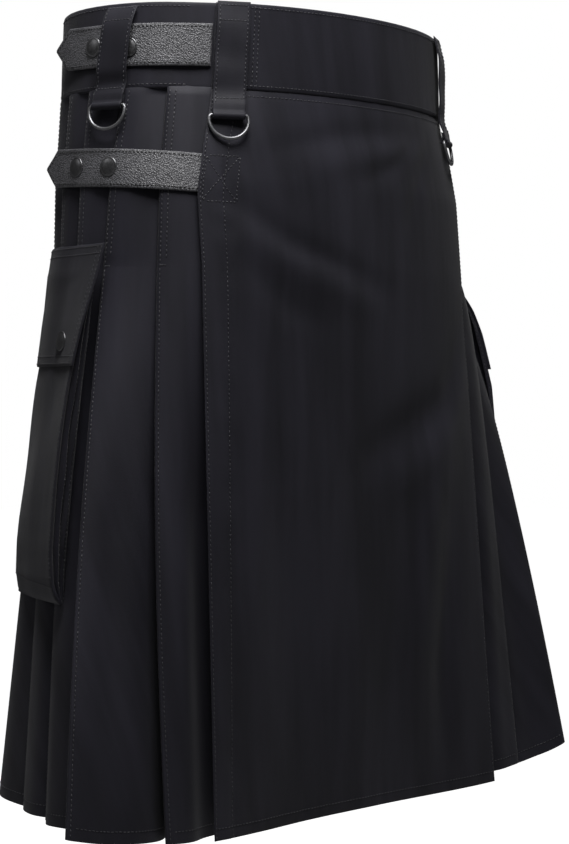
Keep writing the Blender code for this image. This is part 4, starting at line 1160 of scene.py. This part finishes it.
def build_loop(name, profile, top, foot):
    """Loop cloth across a flat width, with its edge stitching."""
    centre = (top + foot) / 2
    normal = body_normal(centre, 0.0)
    across = np.array([-normal[1], normal[0]])
    fine = refine(np.array(profile), [5] * 7 + [2] * (len(profile) - 8) if len(profile) > 8 else [6] * 6)
    shares = (edge_shares(LOOP_WIDTH, 8) - 0.5) * LOOP_WIDTH
    z_top = profile[0][1]
    z_low = min(p[1] for p in profile)
    grid = np.zeros((len(fine), len(shares), 3))
    for r, (offset, z) in enumerate(fine):
        lean = min(max((z_top - z) / (z_top - z_low), 0.0), 1.0)
        base = body_plan(top + (foot - top) * lean, z)
        for c, shift in enumerate(shares):
            wave = 0.00025 * math.sin(z * 160 + shift * 90)
            plan = base + normal * (offset + wave * (r < len(fine) - 18)) + across * shift
            grid[r, c] = (plan[0], plan[1], z)
    if np.dot(facing(grid)[2, 4][:2], normal) < 0:
        grid = grid[:, ::-1]
    cloth_piece("loop_" + name, "belt_loop_" + name, grid, LOOP_CLOTH,
                0.0009)
    rows, cols = grid.shape[:2]
    body_rows = 34 if len(profile) > 8 else rows - 3
    down = np.linspace(1.5, body_rows, 60)
    for distance, start in ((0.0018, 0), (-0.0018, cols - 1)):
        col = np.interp(down, np.arange(rows), beside(grid, start, distance))
        sew("loop_" + name, grid, LOOP_CLOTH, down, col, 0.0032, 0.0025)
    flat = np.linspace(2.5, cols - 3.5, 40)
    for row in ((1.8, 9.0, 32.0) if len(profile) > 8 else (1.8, rows - 3.0)):
        sew("loop_" + name, grid, LOOP_CLOTH, np.full(40, row), flat, 0.0026, 0.0021)


# Press snaps and rings
def build_cap(node, centre, out):
    """Domed cap with a rolled rim, turned about its own axis."""
    side = np.cross([0.0, 0.0, 1.0], out)
    side /= np.linalg.norm(side)
    up = np.cross(out, side)
    profile = ((0.93, -0.10), (1.00, 0.12), (1.00, 0.34), (0.95, 0.52), (0.88, 0.56), (0.83, 0.50),
               (0.78, 0.56), (0.66, 0.76), (0.46, 0.92), (0.22, 1.0))
    turns = 32
    points = []
    for radius, rise in profile:
        for k in range(turns):
            a = 2 * math.pi * k / turns
            spoke = side * math.cos(a) + up * math.sin(a)
            points.append(centre + spoke * CAP_RADIUS * radius + out * CAP_HEIGHT * rise)
    faces = [tuple(reversed(range(turns)))]
    for r in range(len(profile) - 1):
        for k in range(turns):
            n = (k + 1) % turns
            faces.append((r * turns + k, r * turns + n, (r + 1) * turns + n, (r + 1) * turns + k))
    faces.append(tuple(range((len(profile) - 1) * turns, len(profile) * turns)))
    metal_piece(node + "_metal", node, points, faces, CAP_LOOK, BODY)


def build_caps():
    lift = STRAP_BASE + LEATHER + 0.0003
    for name, angle, z in STRAP_CAPS:
        place = on_body(angle, z, lift)
        normal = body_normal(angle, z)
        out = np.array([normal[0], normal[1], 0.06])
        build_cap(name, np.array([place[0], place[1], z]), out / np.linalg.norm(out))
    for side in ("right", "left"):
        mirror = np.array([1.0, 1.0]) if side == "right" else np.array([-1.0, 1.0])
        for name, share in FLAP_CAP_SHARES:
            z = FLAP_CAP_Z
            along = pocket_row(z, side)[1] + POCKET_WIDTH * share
            base = flap_offset(z, share, side) + FLAP_THICK / 2 + 0.0004
            place = pocket_place(z, along, base, side)
            out = pocket_place(z, along, base + 0.01, side) - place
            out /= np.linalg.norm(out)
            above = pocket_place(z + 0.012, along, flap_offset(z + 0.012, share, side), side)
            below = pocket_place(z - 0.012, along, flap_offset(z - 0.012, share, side), side)
            slope = float(np.dot(below - above, out)) / 0.024
            place = place * mirror
            out = np.array([out[0] * mirror[0], out[1], slope])
            build_cap("flap_cap_" + side + "_" + name, np.array([place[0], place[1], z]), out / np.linalg.norm(out))


def ring_path():
    """Middle line of a D-ring: straight bar on top and a round bow below."""
    half = RING_WIDTH / 2 - RING_WIRE
    corner = 0.0026
    drop = RING_DROP - RING_WIRE
    depth = min(drop - corner - 0.001, half * 0.92)
    straight = drop - corner - depth
    path = [(x, 0.0) for x in np.linspace(-half + corner, half - corner, 9)]
    for turn in (72, 54, 36, 18, 0):
        a = math.radians(turn)
        path.append((half - corner + corner * math.cos(a), -corner + corner * math.sin(a)))
    for k in range(1, 30):
        turn = math.pi * k / 30
        path.append((half * math.cos(turn), -corner - straight - depth * math.sin(turn)))
    for turn in (180, 162, 144, 126, 108):
        a = math.radians(turn)
        path.append((-half + corner + corner * math.cos(a), -corner + corner * math.sin(a)))
    return np.array(path)


def build_ring(name, top, foot, ring_z, ring_offset):
    """Round wire D-ring on its own body, hanging from its bar."""
    lean = (0.0335 - ring_z) / (0.0335 - ring_z + RING_WIRE * 1.9)
    angle = top + (foot - top) * lean
    normal = body_normal((top + foot) / 2, 0.0)
    base = body_plan(angle, ring_z)
    bar = np.array([base[0] + normal[0] * ring_offset, base[1] + normal[1] * ring_offset, ring_z])
    swing = max(float(np.dot(body_plan(angle, ring_z - RING_DROP) - base, normal)), 0.0) + 0.0010
    down = np.array([normal[0] * swing, normal[1] * swing, -RING_DROP])
    down /= np.linalg.norm(down)
    across = np.array([-normal[1], normal[0], 0.0])
    path = ring_path()
    ahead = np.roll(path, -1, axis=0) - np.roll(path, 1, axis=0)
    ahead /= np.linalg.norm(ahead, axis=1)[:, None]
    face = np.cross(across, down)
    sides = 16
    points = []
    faces = []
    for k, (x, y) in enumerate(path):
        flat = across * ahead[k][1] + down * ahead[k][0]
        middle = bar + across * x - down * y
        for j in range(sides):
            turn = 2 * math.pi * j / sides
            points.append(middle + (flat * math.cos(turn) + face * math.sin(turn)) * RING_WIRE)
        for j in range(sides):
            a = k * sides + j
            b = k * sides + (j + 1) % sides
            after = ((k + 1) % len(path) - k) * sides
            faces.append((a, b, b + after, a + after))
    metal_piece("d_ring_" + name + "_wire", "d_ring_" + name, points, faces, RING_LOOK,
                "d_ring_" + name + "_body")


def metal_piece(name, node, points, faces, material, body):
    """Smooth metal mesh that stands for a CAD node."""
    mesh = bpy.data.meshes.new(name)
    mesh.from_pydata([tuple(p) for p in points], [], faces)
    mesh.materials.append(material)
    mesh.shade_smooth()
    item = bpy.data.objects.new(name, mesh)
    bpy.context.scene.collection.objects.link(item)
    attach(item, body)
    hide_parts(node)


# Studio
def build_studio():
    """Flat pale floor disc, soft lights and a bright surround."""
    turns = [2 * math.pi * k / 96 for k in range(96)]
    mesh = bpy.data.meshes.new("studio_floor")
    mesh.from_pydata([(FLOOR_REACH * math.cos(t), FLOOR_REACH * math.sin(t), FLOOR_Z) for t in turns], [],
                     [tuple(range(96))])
    material, nodes, links, shader = new_material("pale_floor", (0.60, 0.60, 0.60), 0.9)
    shader.inputs["Emission Color"].default_value = (1.0, 1.0, 1.0, 1.0)
    glow = nodes.new("ShaderNodeMapRange")
    glow.inputs["To Min"].default_value = 0.04
    glow.inputs["To Max"].default_value = 1.00
    links.new(nodes.new("ShaderNodeLightPath").outputs["Is Camera Ray"], glow.inputs["Value"])
    links.new(glow.outputs[0], shader.inputs["Emission Strength"])
    mesh.materials.append(material)
    floor = bpy.data.objects.new("studio_floor", mesh)
    bpy.context.scene.collection.objects.link(floor)
    world = bpy.data.worlds.new("studio")
    world.use_nodes = True
    background = world.node_tree.nodes["Background"]
    background.inputs[0].default_value = (1.0, 1.0, 1.0, 1.0)
    path = world.node_tree.nodes.new("ShaderNodeLightPath")
    strength = world.node_tree.nodes.new("ShaderNodeMapRange")
    strength.inputs["To Min"].default_value = AMBIENT
    strength.inputs["To Max"].default_value = 1.0
    world.node_tree.links.new(path.outputs["Is Camera Ray"], strength.inputs["Value"])
    world.node_tree.links.new(strength.outputs[0], background.inputs[1])
    bpy.context.scene.world = world
    bpy.context.scene.view_settings.view_transform = "Standard"
    for name, turn, rise, distance, size, power in LAMPS:
        light = bpy.data.lights.new(name, "AREA")
        light.shape = "DISK"
        light.size = size
        light.energy = power
        lamp = bpy.data.objects.new(name, light)
        a = math.radians(turn)
        e = math.radians(rise)
        back = np.array([math.sin(a) * math.cos(e), -math.cos(a) * math.cos(e), math.sin(e)])
        lamp.location = tuple(back * distance + np.array([0.0, 0.0, -0.25]))
        aim_at(lamp, (0.0, 0.0, -0.25))
        bpy.context.scene.collection.objects.link(lamp)


def aim_at(item, target):
    """Turns an object so that its -Z axis points at a place."""
    from mathutils import Vector
    way = Vector(target) - item.location
    item.rotation_euler = way.to_track_quat("-Z", "Y").to_euler()


def build_camera():
    """Camera at the photograph's angle, fitted to it."""
    a = math.radians(CAMERA_TURN)
    data = bpy.data.cameras.new("camera")
    data.sensor_width = 36.0
    data.lens = CAMERA_LENS
    data.shift_x, data.shift_y = CAMERA_SHIFT
    camera = bpy.data.objects.new("camera", data)
    camera.location = (-CAMERA_DISTANCE * math.sin(a), -CAMERA_DISTANCE * math.cos(a), CAMERA_HEIGHT)
    camera.rotation_euler = (math.radians(90), 0.0, -a)
    bpy.context.scene.collection.objects.link(camera)
    bpy.context.scene.camera = camera


build_band()
build_apron()
build_under_apron()
for side_name in ("right", "left"):
    build_pleats(side_name)
    build_pocket(side_name)
    build_flap(side_name)
for strap_row in STRAPS:
    build_strap(strap_row)
for loop_row in RINGED_LOOPS:
    loop_name, top_angle, foot_angle = loop_row[:3]
    build_loop(loop_name, loop_profile(*loop_row[3:]), top_angle, foot_angle)
build_loop("back", BACK_LOOP, 180.0, 180.0)
build_caps()
for loop_row in RINGED_LOOPS:
    build_ring(*loop_row[:3], *loop_row[5:])
build_thread()
build_studio()
build_camera()
